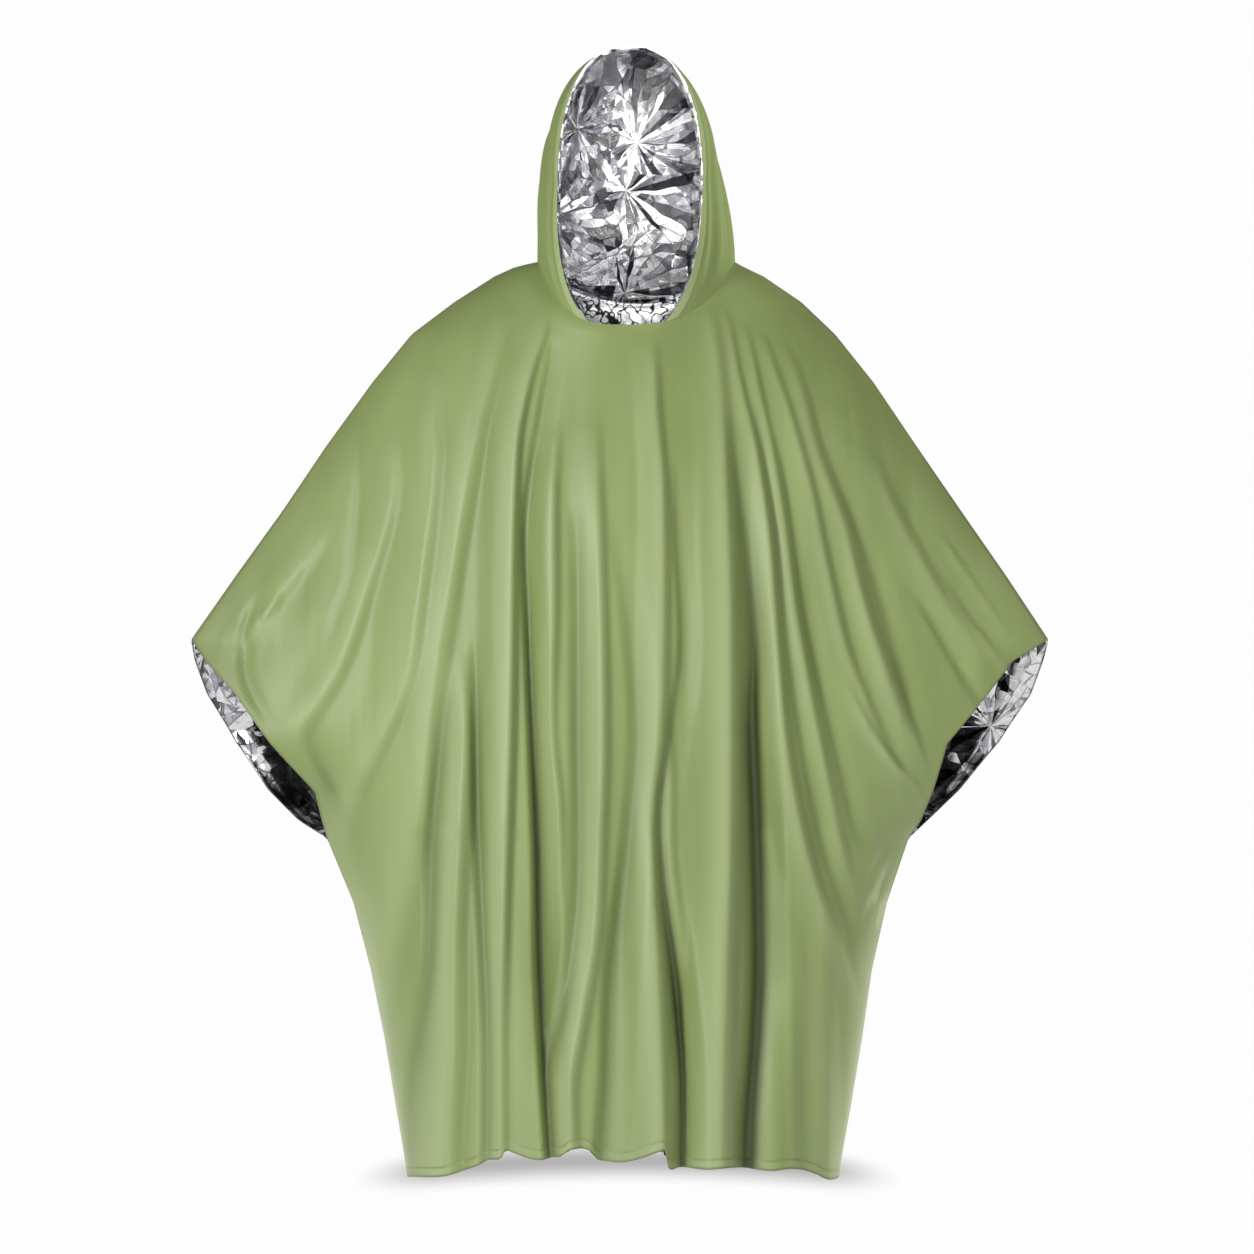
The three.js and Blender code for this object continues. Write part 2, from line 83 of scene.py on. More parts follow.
def curve(rows, column, at):
    """A cubic through one column of rows, each row starting with where it applies. Its slope at a row is the
    mean of the two steps beside it, and it stays level past the ends."""
    keys = np.array([row[0] for row in rows], float)
    values = np.array([row[column] for row in rows], float)
    if keys[-1] < keys[0]:
        keys, values = keys[::-1], values[::-1]
    before = np.maximum(np.arange(len(keys)) - 1, 0)
    after = np.minimum(np.arange(len(keys)) + 1, len(keys) - 1)
    slopes = (values[after] - values[before]) / (keys[after] - keys[before])
    at = np.clip(at, keys[0], keys[-1])
    i = np.clip(np.searchsorted(keys, at, side="right") - 1, 0, len(keys) - 2)
    span = keys[i + 1] - keys[i]
    f = (at - keys[i]) / span
    return (
        (2 * f**3 - 3 * f**2 + 1) * values[i]
        + (f**3 - 2 * f**2 + f) * slopes[i] * span
        + (3 * f**2 - 2 * f**3) * values[i + 1]
        + (f**3 - f**2) * slopes[i + 1] * span
    )


def straight(rows, column, at):
    """Straight lines through one column of rows."""
    keys = np.array([row[0] for row in rows], float)
    values = np.array([row[column] for row in rows], float)
    if keys[-1] < keys[0]:
        keys, values = keys[::-1], values[::-1]
    return np.interp(at, keys, values)


def unit(vectors):
    """The vectors at length 1."""
    return vectors / np.maximum(np.linalg.norm(vectors, axis=-1, keepdims=True), 1e-12)


print("a curve from 0 to 1, a quarter of the way:", curve([(0, 0), (1, 1)], 1, 0.25))


# %% [markdown]
# ## The outline
# Seen from the front, the poncho's edge runs down the shoulder, out to the sleeve's tip, in along the open
# mouth of the sleeve to the underarm, and down the side seam. In the mouth the front's edge lies inside the
# back's, which is why the foil of the back shows there.

# %% Outline
# height, left edge, right edge, and how far the front's edge of the mouth lies inside each
OUTLINE = [
    (0, -112, 135, 0, 0),
    (-6, -140, 146, 0, 0),
    (-18, -166, 171, 0, 0),
    (-50, -216, 218, 0, 0),
    (-90, -269, 260, 0, 0),
    (-150, -318, 308, 0, 0),
    (-230, -376, 362, 0, 0),
    (-310, -430, 417, 0, 0),
    (-392, -489, 474, 0, 0),
    (-472, -545, 527, 0, 0),
    (-498, -541, 521, 16, 40),
    (-540, -528, 508, 44, 62),
    (-600, -494, 470, 54, 75),
    (-660, -451, 418, 64, 39),
    (-698, -411, 376, 31, 10),
    (-720, -375, 352, 0, 0),
    (-800, -342, 325, 0, 0),
    (-885, -320, 306, 0, 0),
    (-970, -303, 294, 0, 0),
    (-1055, -289, 280, 0, 0),
    (-1140, -274, 264, 0, 0),
]
# height, how far the front and the back stand off the neck's middle, and the half width that hangs straight
DEPTHS = [
    (0, 108, 104, 124),
    (-90, 122, 126, 205),
    (-230, 146, 148, 255),
    (-472, 156, 154, 275),
    (-720, 152, 150, 290),
    (-1140, 166, 164, 269),
]
MOUTH_TURN = {"front": 0.31, "back": 0.2}
NECK_DIP = {"front": -88, "back": -38}
HEM_LIFT = {"front": 48, "back": 40}
SPREAD_POWER = 3.5  # the higher, the farther out a row starts to spread over the arm
EDGE_POWER = 8
MOUTH_POWER = 1.2
print("across the sleeve tips:", max(row[2] - row[1] for row in OUTLINE), "mm")

# %% [markdown]
# ## The folds
# The film hangs from the neck and the shoulders, so its folds fan out at the top and then fall straight.
# Each fold is followed from top to bottom by a few rows: height, where across it lies, and how far it stands
# out there, or in where that is negative. Its two flanks have their own widths, because most folds here rise
# gently at the left and drop steeply at the right.

# %% Folds of the front
CREST_SHARE = 0.9  # of the solids' fold height, since film bends in sharper but lower folds than a thick wall
TROUGH_SHARE = 1.1
STEEPER = 0.7  # how wide the steep flanks are here, as a share of their width in the solids
GENTLE = 1.75  # how many times wider the gentle flank is: left of a crest's line, right of a trough's
ROUNDED = 0.22  # how much of a flank its rounded top takes
FOLD_START = 30  # millimetres over which a fold rises from its upper end
FOLD_SPREAD = (0.8, 1.25)  # how wide the folds are at the neck and at the hem, as shares of their own widths
# the folds' painted highlight and painted shade are at their strongest where a fold stands out this far
FULL_PAINTED_LIGHT_AT = 14  # millimetres that a fold stands out where its tones are at their strongest
BACK_SHARE = 1.25  # how much deeper the back's folds are than their table says
BACK_SOFTER = 1.7  # how much more softly the sleeve's mouth begins and ends at the back
FULLNESS = 0.88  # under 1 the body's section is squarer than an ellipse

FRONT_FOLDS = [
    # left flank, right flank, rows of (height, across, stands out)
    (20, 12, [(-56, -97, 0), (-99, -104, 6), (-150, -119, 10), (-243, -135, 14), (-580, -142, 17),
              (-772, -149, 16), (-917, -154, 15), (-1061, -154, 14), (-1200, -154, 14)]),
    (10, 12, [(-90, -88, 0), (-147, -96, -4), (-243, -112, -6), (-339, -123, -8), (-436, -120, -12),
              (-580, -114, -16), (-724, -108, -18), (-869, -105, -18), (-1013, -97, -16), (-1200, -84, -14)]),
    (26, 22, [(-50, -146, 0), (-99, -155, 5), (-195, -179, 8), (-291, -197, 10), (-484, -229, 11), 
              (-676, -255, 10), (-772, -271, 8), (-869, -289, 4), (-940, -300, 0)]),
    (20, 20, [(-470, -203, 0), (-560, -198, 9), (-676, -202, 16), (-820, -211, 18), (-965, -212, 17),
              (-1061, -218, 16), (-1200, -219, 16)]),
    (14, 14, [(-520, -222, 0), (-620, -228, -6), (-724, -236, -9), (-869, -241, -10), (-1013, -262, -6),
              (-1200, -266, -5)]),
    (11, 11, [(-450, -183, 0), (-580, -183, -7), (-772, -176, -10), (-965, -168, -10), (-1200, -171, -9)]),
    (14, 12, [(-200, -84, 0), (-291, -89, 8), (-436, -89, 9), (-580, -93, 9), (-676, -84, 9),
              (-772, -84, 6), (-840, -84, 0)]),
    (13, 13, [(-300, -62, 0), (-400, -60, -6), (-580, -60, -9), (-772, -60, -9), (-917, -77, -9),
              (-960, -88, -6), (-1000, -94, 0)]),
    (18, 14, [(-190, -40, 0), (-291, -36, 8), (-436, -32, 10), (-600, -30, 11), (-724, -35, 11),
              (-821, -40, 12), (-917, -55, 13), (-1013, -70, 12), (-1200, -63, 12)]),
    (14, 14, [(-300, -20, 0), (-436, 0, -4), (-580, 11, -7), (-724, 0, -9), (-869, -17, -11),
              (-1013, -24, -11), (-1200, -38, -10)]),
    (16, 14, [(-92, 30, 0), (-147, 33, 6), (-195, 35, 8), (-291, 42, 10), (-532, 41, 10), (-676, 28, 10),
              (-772, 30, 12), (-869, 36, 13), (-1061, 42, 12), (-1200, 42, 12)]),
    (10, 10, [(-560, 48, 0), (-628, 52, 6), (-724, 52, 7), (-821, 62, 6), (-890, 66, 0)]),
    (10, 12, [(-240, 60, 0), (-340, 62, -5), (-484, 67, -7), (-580, 55, -6), (-676, 40, -7),
              (-772, 44, -9), (-840, 52, -15), (-917, 60, -20), (-1013, 67, -18), (-1200, 65, -15)]),
    (20, 18, [(-50, 98, 0), (-110, 107, 6), (-195, 115, 9), (-291, 119, 12), (-436, 123, 14),
              (-724, 123, 15), (-869, 118, 15), (-1061, 113, 14), (-1200, 113, 14)]),
    (20, 16, [(-180, 130, 0), (-291, 138, -7), (-387, 148, -12), (-484, 153, -20), 
              (-580, 151, -24), (-724, 157, -27), (-869, 160, -28), (-965, 156, -27), (-1061, 149, -24), (-1200, 147, -22)]),
    (16, 10, [(-50, 117, 0), (-100, 127, 5), (-147, 135, 7), (-243, 156, 9), (-339, 170, 11),
              (-436, 177, 12), (-580, 190, 12), (-676, 206, 12), (-772, 231, 10), (-869, 266, 6), (-930, 285, 0)]),
    (9, 9, [(-170, 155, 0), (-243, 166, -4), (-339, 180, -7), (-532, 202, -7), (-628, 218, -6),
            (-724, 239, -5), (-821, 269, -3), (-860, 275, 0)]),
    (12, 10, [(-70, 142, 0), (-147, 157, 6), (-243, 176, 7), (-339, 191, 8), (-436, 203, 8), (-532, 221, 8),
              (-628, 241, 8), (-724, 263, 6), (-790, 280, 0)]),
    (9, 10, [(-200, 180, 0), (-291, 195, -4), (-387, 208, -5), (-484, 224, -6), (-580, 248, -6),
             (-676, 271, -5), (-740, 292, 0)]),
    (14, 12, [(-80, 160, 0), (-147, 182, 5), (-195, 198, 6), (-291, 224, 8), (-387, 244, 9), (-484, 267, 9),
              (-580, 305, 7), (-628, 327, 4), (-690, 350, 0)]),
    (16, 14, [(-90, 186, 0), (-160, 212, 5), (-243, 233, 6), (-339, 268, 8), (-436, 290, 8), (-532, 319, 7),
              (-580, 335, 5), (-650, 355, 0)]),
    (12, 12, [(-200, 232, 0), (-339, 283, -4), (-436, 314, -5), (-532, 340, -4), (-600, 356, 0)]),
    (18, 16, [(-230, 300, 0), (-291, 321, 4), (-387, 370, 6), (-436, 398, 6), (-484, 431, 5),
              (-540, 450, 0)]),
    (22, 20, [(-120, -238, 0), (-195, -240, 4), (-243, -237, 7), (-339, -245, 9), (-436, -259, 10),
              (-532, -275, 9), (-628, -318, 7), (-676, -339, 5), (-740, -350, 0)]),
    (20, 18, [(-190, -298, 0), (-291, -290, 5), (-387, -314, 7), (-484, -345, 8), (-532, -368, 7),
              (-580, -399, 5), (-620, -415, 0)]),
    (22, 18, [(-200, -345, 0), (-291, -345, 4), (-387, -352, 5), (-436, -368, 5), (-520, -395, 0)]),
    (22, 22, [(-300, -372, 0), (-350, -385, 4), (-400, -420, 5), (-436, -445, 4), (-500, -470, 0)]),
    (6, 5, [(-392, -424, 0), (-430, -439, 4), (-455, -462, 4), (-481, -475, 3), (-500, -482, 0)]),
    (6, 5, [(-440, -484, 0), (-470, -498, 3), (-500, -502, 3), (-530, -494, 0)]),
    (6, 6, [(-330, 385, 0), (-357, 400, 3), (-410, 436, 3), (-460, 470, 3), (-480, 482, 0)]),
    (18, 18, [(-760, 236, 0), (-900, 240, 5), (-1061, 248, 6), (-1200, 250, 6)]),
    (14, 14, [(-880, 178, 0), (-1000, 176, 5), (-1200, 176, 5)]),
    (12, 12, [(-860, 212, 0), (-1000, 214, -4), (-1200, 215, -4)]),
    (12, 9, [(-330, 262, 0), (-420, 290, 5), (-500, 318, 8), (-595, 354, 7), (-650, 372, 0)]),
    (12, 9, [(-500, 258, 0), (-560, 284, 6), (-607, 314, 8), (-655, 356, 5), (-690, 372, 0)]),
    (9, 7, [(-380, 382, 0), (-441, 418, 5), (-480, 450, 6), (-530, 488, 4)]),
    (8, 8, [(-400, 345, 0), (-441, 371, -5), (-515, 414, -6), (-570, 446, -3)]),
    (8, 8, [(-400, -452, 0), (-440, -470, -5), (-480, -478, -6), (-530, -470, -5), (-580, -440, 0)]),
    (12, 12, [(-560, -392, 0), (-613, -384, -5), (-650, -366, -6), (-690, -352, 0)]),
]
print("folds of the front:", len(FRONT_FOLDS))

# %% [markdown]
# ## The folds of the back
# The photograph doesn't show the back, so its folds are a guess of the same kind and size. They are fewer,
# since a back that hangs from the nape and the shoulders lies a little smoother, and they are uneven, since
# folds of equal width at equal distances would look like pleats.

# %% Folds of the back
BACK_FOLDS = [
    (24, 20, [(-200, -290, 0), (-330, -322, 7), (-430, -352, 9), (-540, -396, 7), (-640, -440, 0)]),
    (26, 22, [(-150, -210, 0), (-330, -246, 9), (-500, -276, 11), (-680, -304, 8), (-820, -330, 0)]),
    (24, 18, [(-110, -140, 0), (-280, -182, 11), (-560, -210, 13), (-860, -226, 12), (-1200, -238, 11)]),
    (13, 13, [(-520, -186, 0), (-700, -182, -7), (-900, -176, -11), (-1200, -180, -12)]),
    (16, 14, [(-90, -90, 0), (-220, -112, 8), (-460, -136, 10), (-640, -150, 6), (-760, -158, 0)]),
    (20, 15, [(-300, -92, 0), (-520, -106, 11), (-860, -132, 13), (-1200, -128, 12)]),
    (12, 13, [(-430, -66, 0), (-640, -74, -9), (-900, -96, -13), (-1200, -98, -11)]),
    (22, 16, [(-150, -36, 0), (-340, -34, 8), (-560, -28, 9), (-760, -20, 7), (-880, -12, 0)]),
    (22, 16, [(-640, -50, 0), (-820, -52, 9), (-1000, -44, 11), (-1200, -34, 10)]),
    (14, 14, [(-600, 14, 0), (-780, 10, -7), (-960, 2, -9), (-1200, 12, -10)]),
    (20, 16, [(-100, 40, 0), (-300, 54, 11), (-560, 60, 12), (-820, 52, 12), (-1200, 48, 10)]),
    (11, 12, [(-360, 80, 0), (-520, 86, -9), (-760, 82, -13), (-1000, 92, -10), (-1200, 84, -8)]),
    (20, 18, [(-90, 98, 0), (-260, 122, 10), (-480, 134, 12), (-760, 128, 13), (-1200, 138, 12)]),
    (12, 13, [(-620, 162, 0), (-780, 172, -8), (-960, 178, -9), (-1200, 170, -7)]),
    (18, 18, [(-110, 148, 0), (-300, 188, 9), (-520, 216, 11), (-700, 236, 8), (-860, 256, 0)]),
    (20, 18, [(-780, 206, 0), (-940, 212, 8), (-1200, 220, 9)]),
    (20, 20, [(-170, 214, 0), (-330, 258, 8), (-480, 300, 9), (-600, 340, 6), (-700, 372, 0)]),
    (22, 20, [(-230, 300, 0), (-330, 340, 6), (-430, 390, 7), (-560, 458, 0)]),
]

# across, and how far the hem rises there: the cut edge dips where a fold comes forward
HEM_WAVES = {
    "front": [(-262, 0), (-225, -5), (-193, -4), (-165, 3), (-152, 4), (-147, 12), (-138, 9), (-112, -1),
              (-84, 0), (-76, 3), (-68, 10), (-46, 9), (-36, -3), (-22, -6), (-4, -6), (20, 1), (40, 9),
              (45, 9), (49, -11), (60, -13), (90, -13), (120, -9), (150, -12), (175, -9), (200, -1),
              (225, 0), (245, -3), (262, 0)],
    "back": [(-262, 0), (-205, 6), (-168, -4), (-120, 7), (-78, -5), (-32, 6), (14, -4), (60, 7), (104, -5),
             (150, 6), (196, -4), (262, 0)],
}
print("folds of the back:", len(BACK_FOLDS))


# %% [markdown]
# ## Crinkles in the foil
# Foil that has been folded small keeps sharp creases with flat facets between them. A sum of triangle waves
# in random directions has just that shape: flat pieces that meet in straight edges. The waves are laid
# through space, so neighbouring pieces of foil share them. The same waves, much smaller, crinkle the film in
# one small patch at the right side seam.


# %% Crinkles
def crinkle(points, seed, lengths, count):
    """Height from 0 to 1 at each point: the mean of triangle waves of random direction and length, each bent
    a little by a slower one."""
    random = np.random.default_rng(seed)
    height = np.zeros(points.shape[:-1])
    total = 0.0
    for _ in range(count):
        direction, bend = unit(random.normal(size=3)), unit(random.normal(size=3))
        length = random.uniform(*lengths)
        sway = np.abs((points @ bend / (2.7 * length) + random.uniform()) % 1 - 0.5)
        phase = points @ direction / length + 1.3 * sway + random.uniform()
        height += length * np.abs(2 * (phase % 1) - 1)
        total += length
    return height / total


samples = crinkle(np.linspace(0, 300, 900).reshape(300, 3), 21, (50, 130), 7)
print("crinkles run from", samples.min().round(2), "to", samples.max().round(2))

# %% [markdown]
# ## The body's surface
# One formula serves the front and the back. A row starts at the left edge, crosses the body on a half
# ellipse that spreads out over the arm, and ends at the right edge at the same height. The neckline dips in
# its middle and the hem rises there. The folds are then added to the depth. The painted highlight and the
# painted shade that go with the folds come from the same rows as the folds do, so they stay in place when a
# fold is moved.


# %% Body surface
def fold_profile(away):
    """Height of a fold of height 1 and flank 1 at a distance from its line: 1 - distance, where the distance
    is rounded at the top and the foot runs out softly."""
    below = 1 - (np.sqrt(away**2 + ROUNDED**2) - ROUNDED)
    return (below + np.sqrt(below**2 + 0.02)) / 2


def fold_depth(folds, x, z):
    """How far all the folds of one side stand out at (x, z): across each fold a profile with two flanks, and
    down it the height and the place that its rows give."""
    total = np.zeros_like(x)
    spread = FOLD_SPREAD[0] + (FOLD_SPREAD[1] - FOLD_SPREAD[0]) * np.clip(z / HEM_Z, 0, 1)
    for left, right, rows in folds:
        away = x - curve(rows, 1, z)
        stands = straight(rows, 2, z) * smooth((rows[0][0] - z) / FOLD_START)
        crest = max(row[2] for row in rows) > 0
        wider = (GENTLE, STEEPER) if crest else (STEEPER, GENTLE)
        flank = np.where(away < 0, left * wider[0], right * wider[1])
        share = CREST_SHARE if crest else TROUGH_SHARE
        total += share * stands * fold_profile(away / (spread * flank))
    return total


def painted_fold_light(folds, x, z, crests):
    """Painted light, 0 to 1 at (x, z). With crests it is a painted highlight that follows the gentle flank next to
    each crest. Without, it is painted shade that follows each trough, with a stronger core low down where the
    trough is deep, and a little the foot of each steep flank."""
    total = np.zeros_like(x)
    spread = FOLD_SPREAD[0] + (FOLD_SPREAD[1] - FOLD_SPREAD[0]) * np.clip(z / HEM_Z, 0, 1)
    for left, right, rows in folds:
        stands = straight(rows, 2, z) * smooth((rows[0][0] - z) / FOLD_START)
        crest = max(row[2] for row in rows) > 0
        strength = np.clip(np.abs(stands) / FULL_PAINTED_LIGHT_AT, 0, 1)
        away = (x - curve(rows, 1, z)) / spread
        if crests and crest:
            past = away + 0.3 * left
            total += strength * hump(past, np.where(away < -0.3 * left, 0.75 * left, 0.5 * left))
        elif not crests and crest:
            total += 0.25 * strength * hump(away - 0.75 * right, 0.4 * right)
        elif not crests:
            total += 0.6 * strength * hump(away, np.where(away < 0, 0.5 * left, 0.6 * right))
            core = np.clip((np.abs(stands) - 12) / 10, 0, 1) * smooth((-z - 430) / 300)
            total += 0.6 * core * hump(away + 0.1 * left, 0.4 * left)
    return np.clip(total, 0, 1)


WAVES = 12


def wrinkles(points, seed, reach, across=(28, 90), along=(140, 460)):
    """Low soft unevenness: a sum of twelve waves of random length and direction, mostly upright ones.
    points has x and z in millimetres, and reach is about the height of the result."""
    random = np.random.default_rng(seed)
    x, z = points[..., 0], points[..., 2]
    total = np.zeros(x.shape)
    for _ in range(WAVES):
        wide, long = random.uniform(*across), random.uniform(*along)
        turn, phase = random.uniform(-0.4, 0.4), random.uniform(0, 2 * np.pi)
        total += np.sin(2 * np.pi * (x / wide + turn * z / long) + phase)
    return reach * total / WAVES**0.5


def mouth_open(z):
    """0 above the sleeve's tip and below the underarm, and up to 1 halfway between."""
    share = np.clip((SLEEVE_TIP_Z - z) / (SLEEVE_TIP_Z - UNDERARM_Z), 0, 1)
    return np.sin(np.pi * share) ** MOUTH_POWER


def body(side, s, z):
    """Points of the front's or the back's outer face, in millimetres. s runs from -1 to 1 across, and z is
    the height of the row's ends. Across is centre + hang sin(90 s) + what is left to the edge times
    s^3.5. Depth is depth cos(90 s) + folds. Height is z + dip (1 - sin^3(90 s)) + the hem's waves."""
    front = side == "front"
    sharp = np.abs(s) ** EDGE_POWER
    left, right = (
        curve(OUTLINE, column, z) * (1 - sharp) + straight(OUTLINE, column, z) * sharp for column in (1, 2)
    )
    half, centre = (right - left) / 2, (right + left) / 2
    hang = np.minimum(half, curve(DEPTHS, 3, z))
    outer = np.clip(2 * np.abs(s) - 1, 0, 1) ** 1.5
    cut = MOUTH_TURN[side] * mouth_open(z) ** (1 if front else BACK_SOFTER)
    turn = np.pi / 2 * np.abs(s) - cut * outer
    reach = hang * np.sin(turn) + (half - hang * np.cos(cut)) * np.abs(s) ** SPREAD_POWER
    inset = np.where(s < 0, straight(OUTLINE, 3, z), straight(OUTLINE, 4, z)) if front else 0
    throat = THROAT_SHIFT * np.cos(turn) ** 2 * (1 - smooth(z / THROAT_END_Z)) if front else 0
    tip = 5 * np.exp(-np.clip(SLEEVE_TIP_Z - z, 0, None) / 60)
    pulled = np.clip(2 * np.abs(s) - 1, 0, 1) ** (1.5 + tip)
    x = centre + np.sign(s) * (reach - inset * pulled) - throat

    down = np.clip(z / HEM_Z, 0, 1)
    lift = NECK_DIP[side] + (HEM_LIFT[side] - NECK_DIP[side]) * smooth(down)
    ripple = curve(HEM_WAVES[side], 1, x) * smooth((down - 0.8) / 0.2)
    fade = smooth((1 - np.abs(s)) / 0.1)
    height = z + lift * (1 - np.sin(np.pi / 2 * np.abs(s)) ** 3) + ripple * fade

    fullness = 1 - (1 - FULLNESS) * smooth(-z / 150)
    folds = fold_depth(FRONT_FOLDS, x, height) if front else BACK_SHARE * fold_depth(BACK_FOLDS, x, height)
    folds = folds * (fade + (1 - fade) * mouth_open(z))
    depth = curve(DEPTHS, 1 if front else 2, z) * np.clip(np.cos(turn), 0, 1) ** fullness + folds
    return np.stack([x, -depth if front else depth, height], -1)


PATCH_PLACE = (312, -788)
PATCH_REACH = (13, 34)
PATCH_CREASES = {"seed": 41, "lengths": (14, 30), "count": 4}


def patch(points):
    """1 in the middle of the small crinkled patch at the right side seam, and down to 0 round it."""
    across, along = ((points[..., axis] - PATCH_PLACE[i]) / PATCH_REACH[i] for i, axis in ((0, 0), (1, 2)))
    return np.exp(-(across**2) - along**2)


def body_grid(side, rows, columns, closer):
    """The face of one side as a grid of points, with low wrinkles added along the depth, and at the front the
    small crinkled patch. Where closer is above 0 the columns stand closer at the sides than in the middle, and
    below 0 the other way round."""
    down = np.linspace(0, 1, rows + 1)
    near_hem = [1.5, 3.5, 9, 10.5, 12, 13.5]
    z = np.concatenate([HEM_Z * (0.25 * down**2 + 0.75 * down), [HEM_Z + rise for rise in near_hem]])
    z = -np.sort(-z)[:, None]
    even = np.linspace(-1, 1, columns + 1)[None, :]
    s, z = np.broadcast_arrays(even + closer * np.sin(np.pi * even) / np.pi, z)
    points = body(side, s, z)
    fade = smooth((1 - np.abs(s)) / 0.14) * smooth(-z / 120)
    outward = -1 if side == "front" else 1
    seed = 11 if side == "front" else 12
    uneven = wrinkles(points, seed, 0.5, across=(36, 110))
    uneven += wrinkles(points, seed + 5, 0.12, across=(12, 28), along=(90, 300))
    points[..., 1] += outward * fade * uneven
    if side == "front":
        points[..., 1] += 3 * patch(points) * (crinkle(points, **PATCH_CREASES) - 0.5)
    points[..., 1] += outward * SEAM_GAP
    return points, s, z


for side in ("front", "back"):
    print(f"middle of the {side}'s neckline, mm:", body(side, np.zeros(1), np.zeros(1))[0].round(1))

# %% [markdown]
# ## The hood's surface
# The hood is a fan of hoops that stand on the neckline. The first is the face opening, which leans back a
# little, and the last is the nape's part of the neckline. Each hoop is most of an ellipse.

# %% Hood surface
# share of the way to the nape, angle of the hoop's feet round the neck (0 is the throat, 180 the nape),
# its top's y and z, half width and roundness
HOOPS = [
    (0.0, 22, -70, 258, 88, 2.4),
    (1 / 7, 34, -40, 260, 98, 2.42),
    (2 / 7, 58, 10, 262, 112, 2.35),
    (3 / 7, 84, 70, 241, 118, 2.35),
    (4 / 7, 104, 116, 184, 118, 2.3),
    (5 / 7, 122, 138, 106, 108, 2.2),
    (6 / 7, 138, 134, 26, 90, 2.1),
    (1.0, 152, 104, -38, 62, 2.0),
]


def neckline(angle):
    """Points of the neckline at an angle round the neck: an ellipse that dips at the throat and the nape."""
    cos, sin = np.cos(angle), np.sin(angle)
    depth = np.where(cos > 0, DEPTHS[0][1], DEPTHS[0][2])
    dip = np.where(cos > 0, NECK_DIP["front"], NECK_DIP["back"])
    middle = NECK_CENTRE_X - THROAT_SHIFT * np.maximum(0, cos) ** 2
    return np.stack([middle + NECK_HALF * sin, -depth * cos, dip * (1 - np.abs(sin) ** 3)], -1)


def hood(back, s):
    """Points of the hood's outer face. back runs from 0 at the face opening to 1 at the nape, and s along a
    hoop from -1 at its left foot over the crown to 1 at its right foot: an ellipse, cut off where it has
    narrowed to the width of its feet, that leans from the feet to its top."""
    foot = np.radians(curve(HOOPS, 1, back))
    base = neckline(foot)
    feet = NECK_HALF * np.sin(foot)
    half = np.maximum(curve(HOOPS, 4, back), feet)
    shape = 2 / curve(HOOPS, 5, back)
    reach = np.pi - np.arcsin(np.clip(feet / half, 0, 1) ** (1 / shape))
    cos, sin = np.cos(s * reach), np.sin(s * reach)
    cos, sin = np.sign(cos) * np.abs(cos) ** shape, np.sign(sin) * np.abs(sin) ** shape
    low = np.cos(reach)
    low = np.sign(low) * np.abs(low) ** shape
    rise = (cos - low) / (1 - low)
    y = base[..., 1] + (curve(HOOPS, 2, back) - base[..., 1]) * rise
    z = base[..., 2] + (curve(HOOPS, 3, back) - base[..., 2]) * rise
    middle = NECK_CENTRE_X - THROAT_SHIFT * np.maximum(0, np.cos(foot)) ** 2
    middle = middle + (CROWN_CENTRE_X - middle) * smooth(rise / 0.6)
    points = np.stack([middle + half * sin, y, z], -1)
    nape = neckline(np.pi - (np.pi - foot) * s)
    share = (smooth((back - 0.8) / 0.2) ** 2)[..., None]
    return points * (1 - share) + nape * share


def hood_grid(side, rows, columns):
    """One half of the hood as a grid, from its crown line (first column) to the neckline (last column)."""
    back, s = np.linspace(0, 1, rows + 1)[:, None], np.linspace(0, 1, columns + 1)[None, :]
    back, s = np.broadcast_arrays(back, s)
    points = hood(back, s * side)
    points[..., 0] += side * SEAM_GAP
    return points, back, s


crown_line = hood(np.linspace(0, 1, 50), np.zeros(50))
print("top of the hood:", crown_line[:, 2].max().round(1), "mm")

# %% [markdown]
# ## Sheets
# Film is far thinner than it is wide, so each piece is one fine sheet. The foil is a sheet of its own, just
# inside the film. At every edge the foil turns out to meet the film, as it does where the two are sealed.


# %% Helpers for sheets
def normals_of(points, outward):
    """Unit normals of a grid: the cross product of its steps across and along."""
    along, across = np.gradient(points, axis=0), np.gradient(points, axis=1)
    return unit(outward * np.cross(across, along))


def framed(points, border):
    """The grid with one more ring of points round it, which are the edge points of the grid border."""
    ring = np.pad(border, ((1, 1), (1, 1), (0, 0)), mode="edge")
    ring[1:-1, 1:-1] = points
    return ring


def add_sheet(name, points, outward, material, replaces, attributes=None):
    """A mesh from a grid of points in millimetres: one quad a cell, corners that coincide made one, faces
    turned outward, and each attribute a number a point."""
    rows, columns = points.shape[:2]
    index = np.arange(rows * columns).reshape(rows, columns)
    quads = np.stack([index[:-1, :-1], index[1:, :-1], index[1:, 1:], index[:-1, 1:]], -1).reshape(-1, 4)
    if outward > 0:
        quads = quads[:, ::-1]
    flat = points.reshape(-1, 3) * MM
    _, first, merged = np.unique(np.round(flat, 6), axis=0, return_index=True, return_inverse=True)
    faces = merged.reshape(-1)[quads]
    spread = np.array([len(set(face)) for face in faces.tolist()])
    faces = [list(dict.fromkeys(face)) for face, n in zip(faces.tolist(), spread) if n > 2]
    mesh = bpy.data.meshes.new(name)
    mesh.from_pydata(flat[first].tolist(), [], faces)
    for key, values in (attributes or {}).items():
        layer = mesh.attributes.new(key, "FLOAT", "POINT")
        layer.data.foreach_set("value", values.reshape(-1)[first].astype(np.float32))
    mesh.polygons.foreach_set("use_smooth", np.ones(len(mesh.polygons), bool))
    mesh.validate()
    mesh.materials.append(material)
    piece = bpy.data.objects.new(name, mesh)
    bpy.context.scene.collection.objects.link(piece)
    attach(piece, "root")
    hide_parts(replaces)
    print(f"{name}: {len(faces)} faces")
    return piece


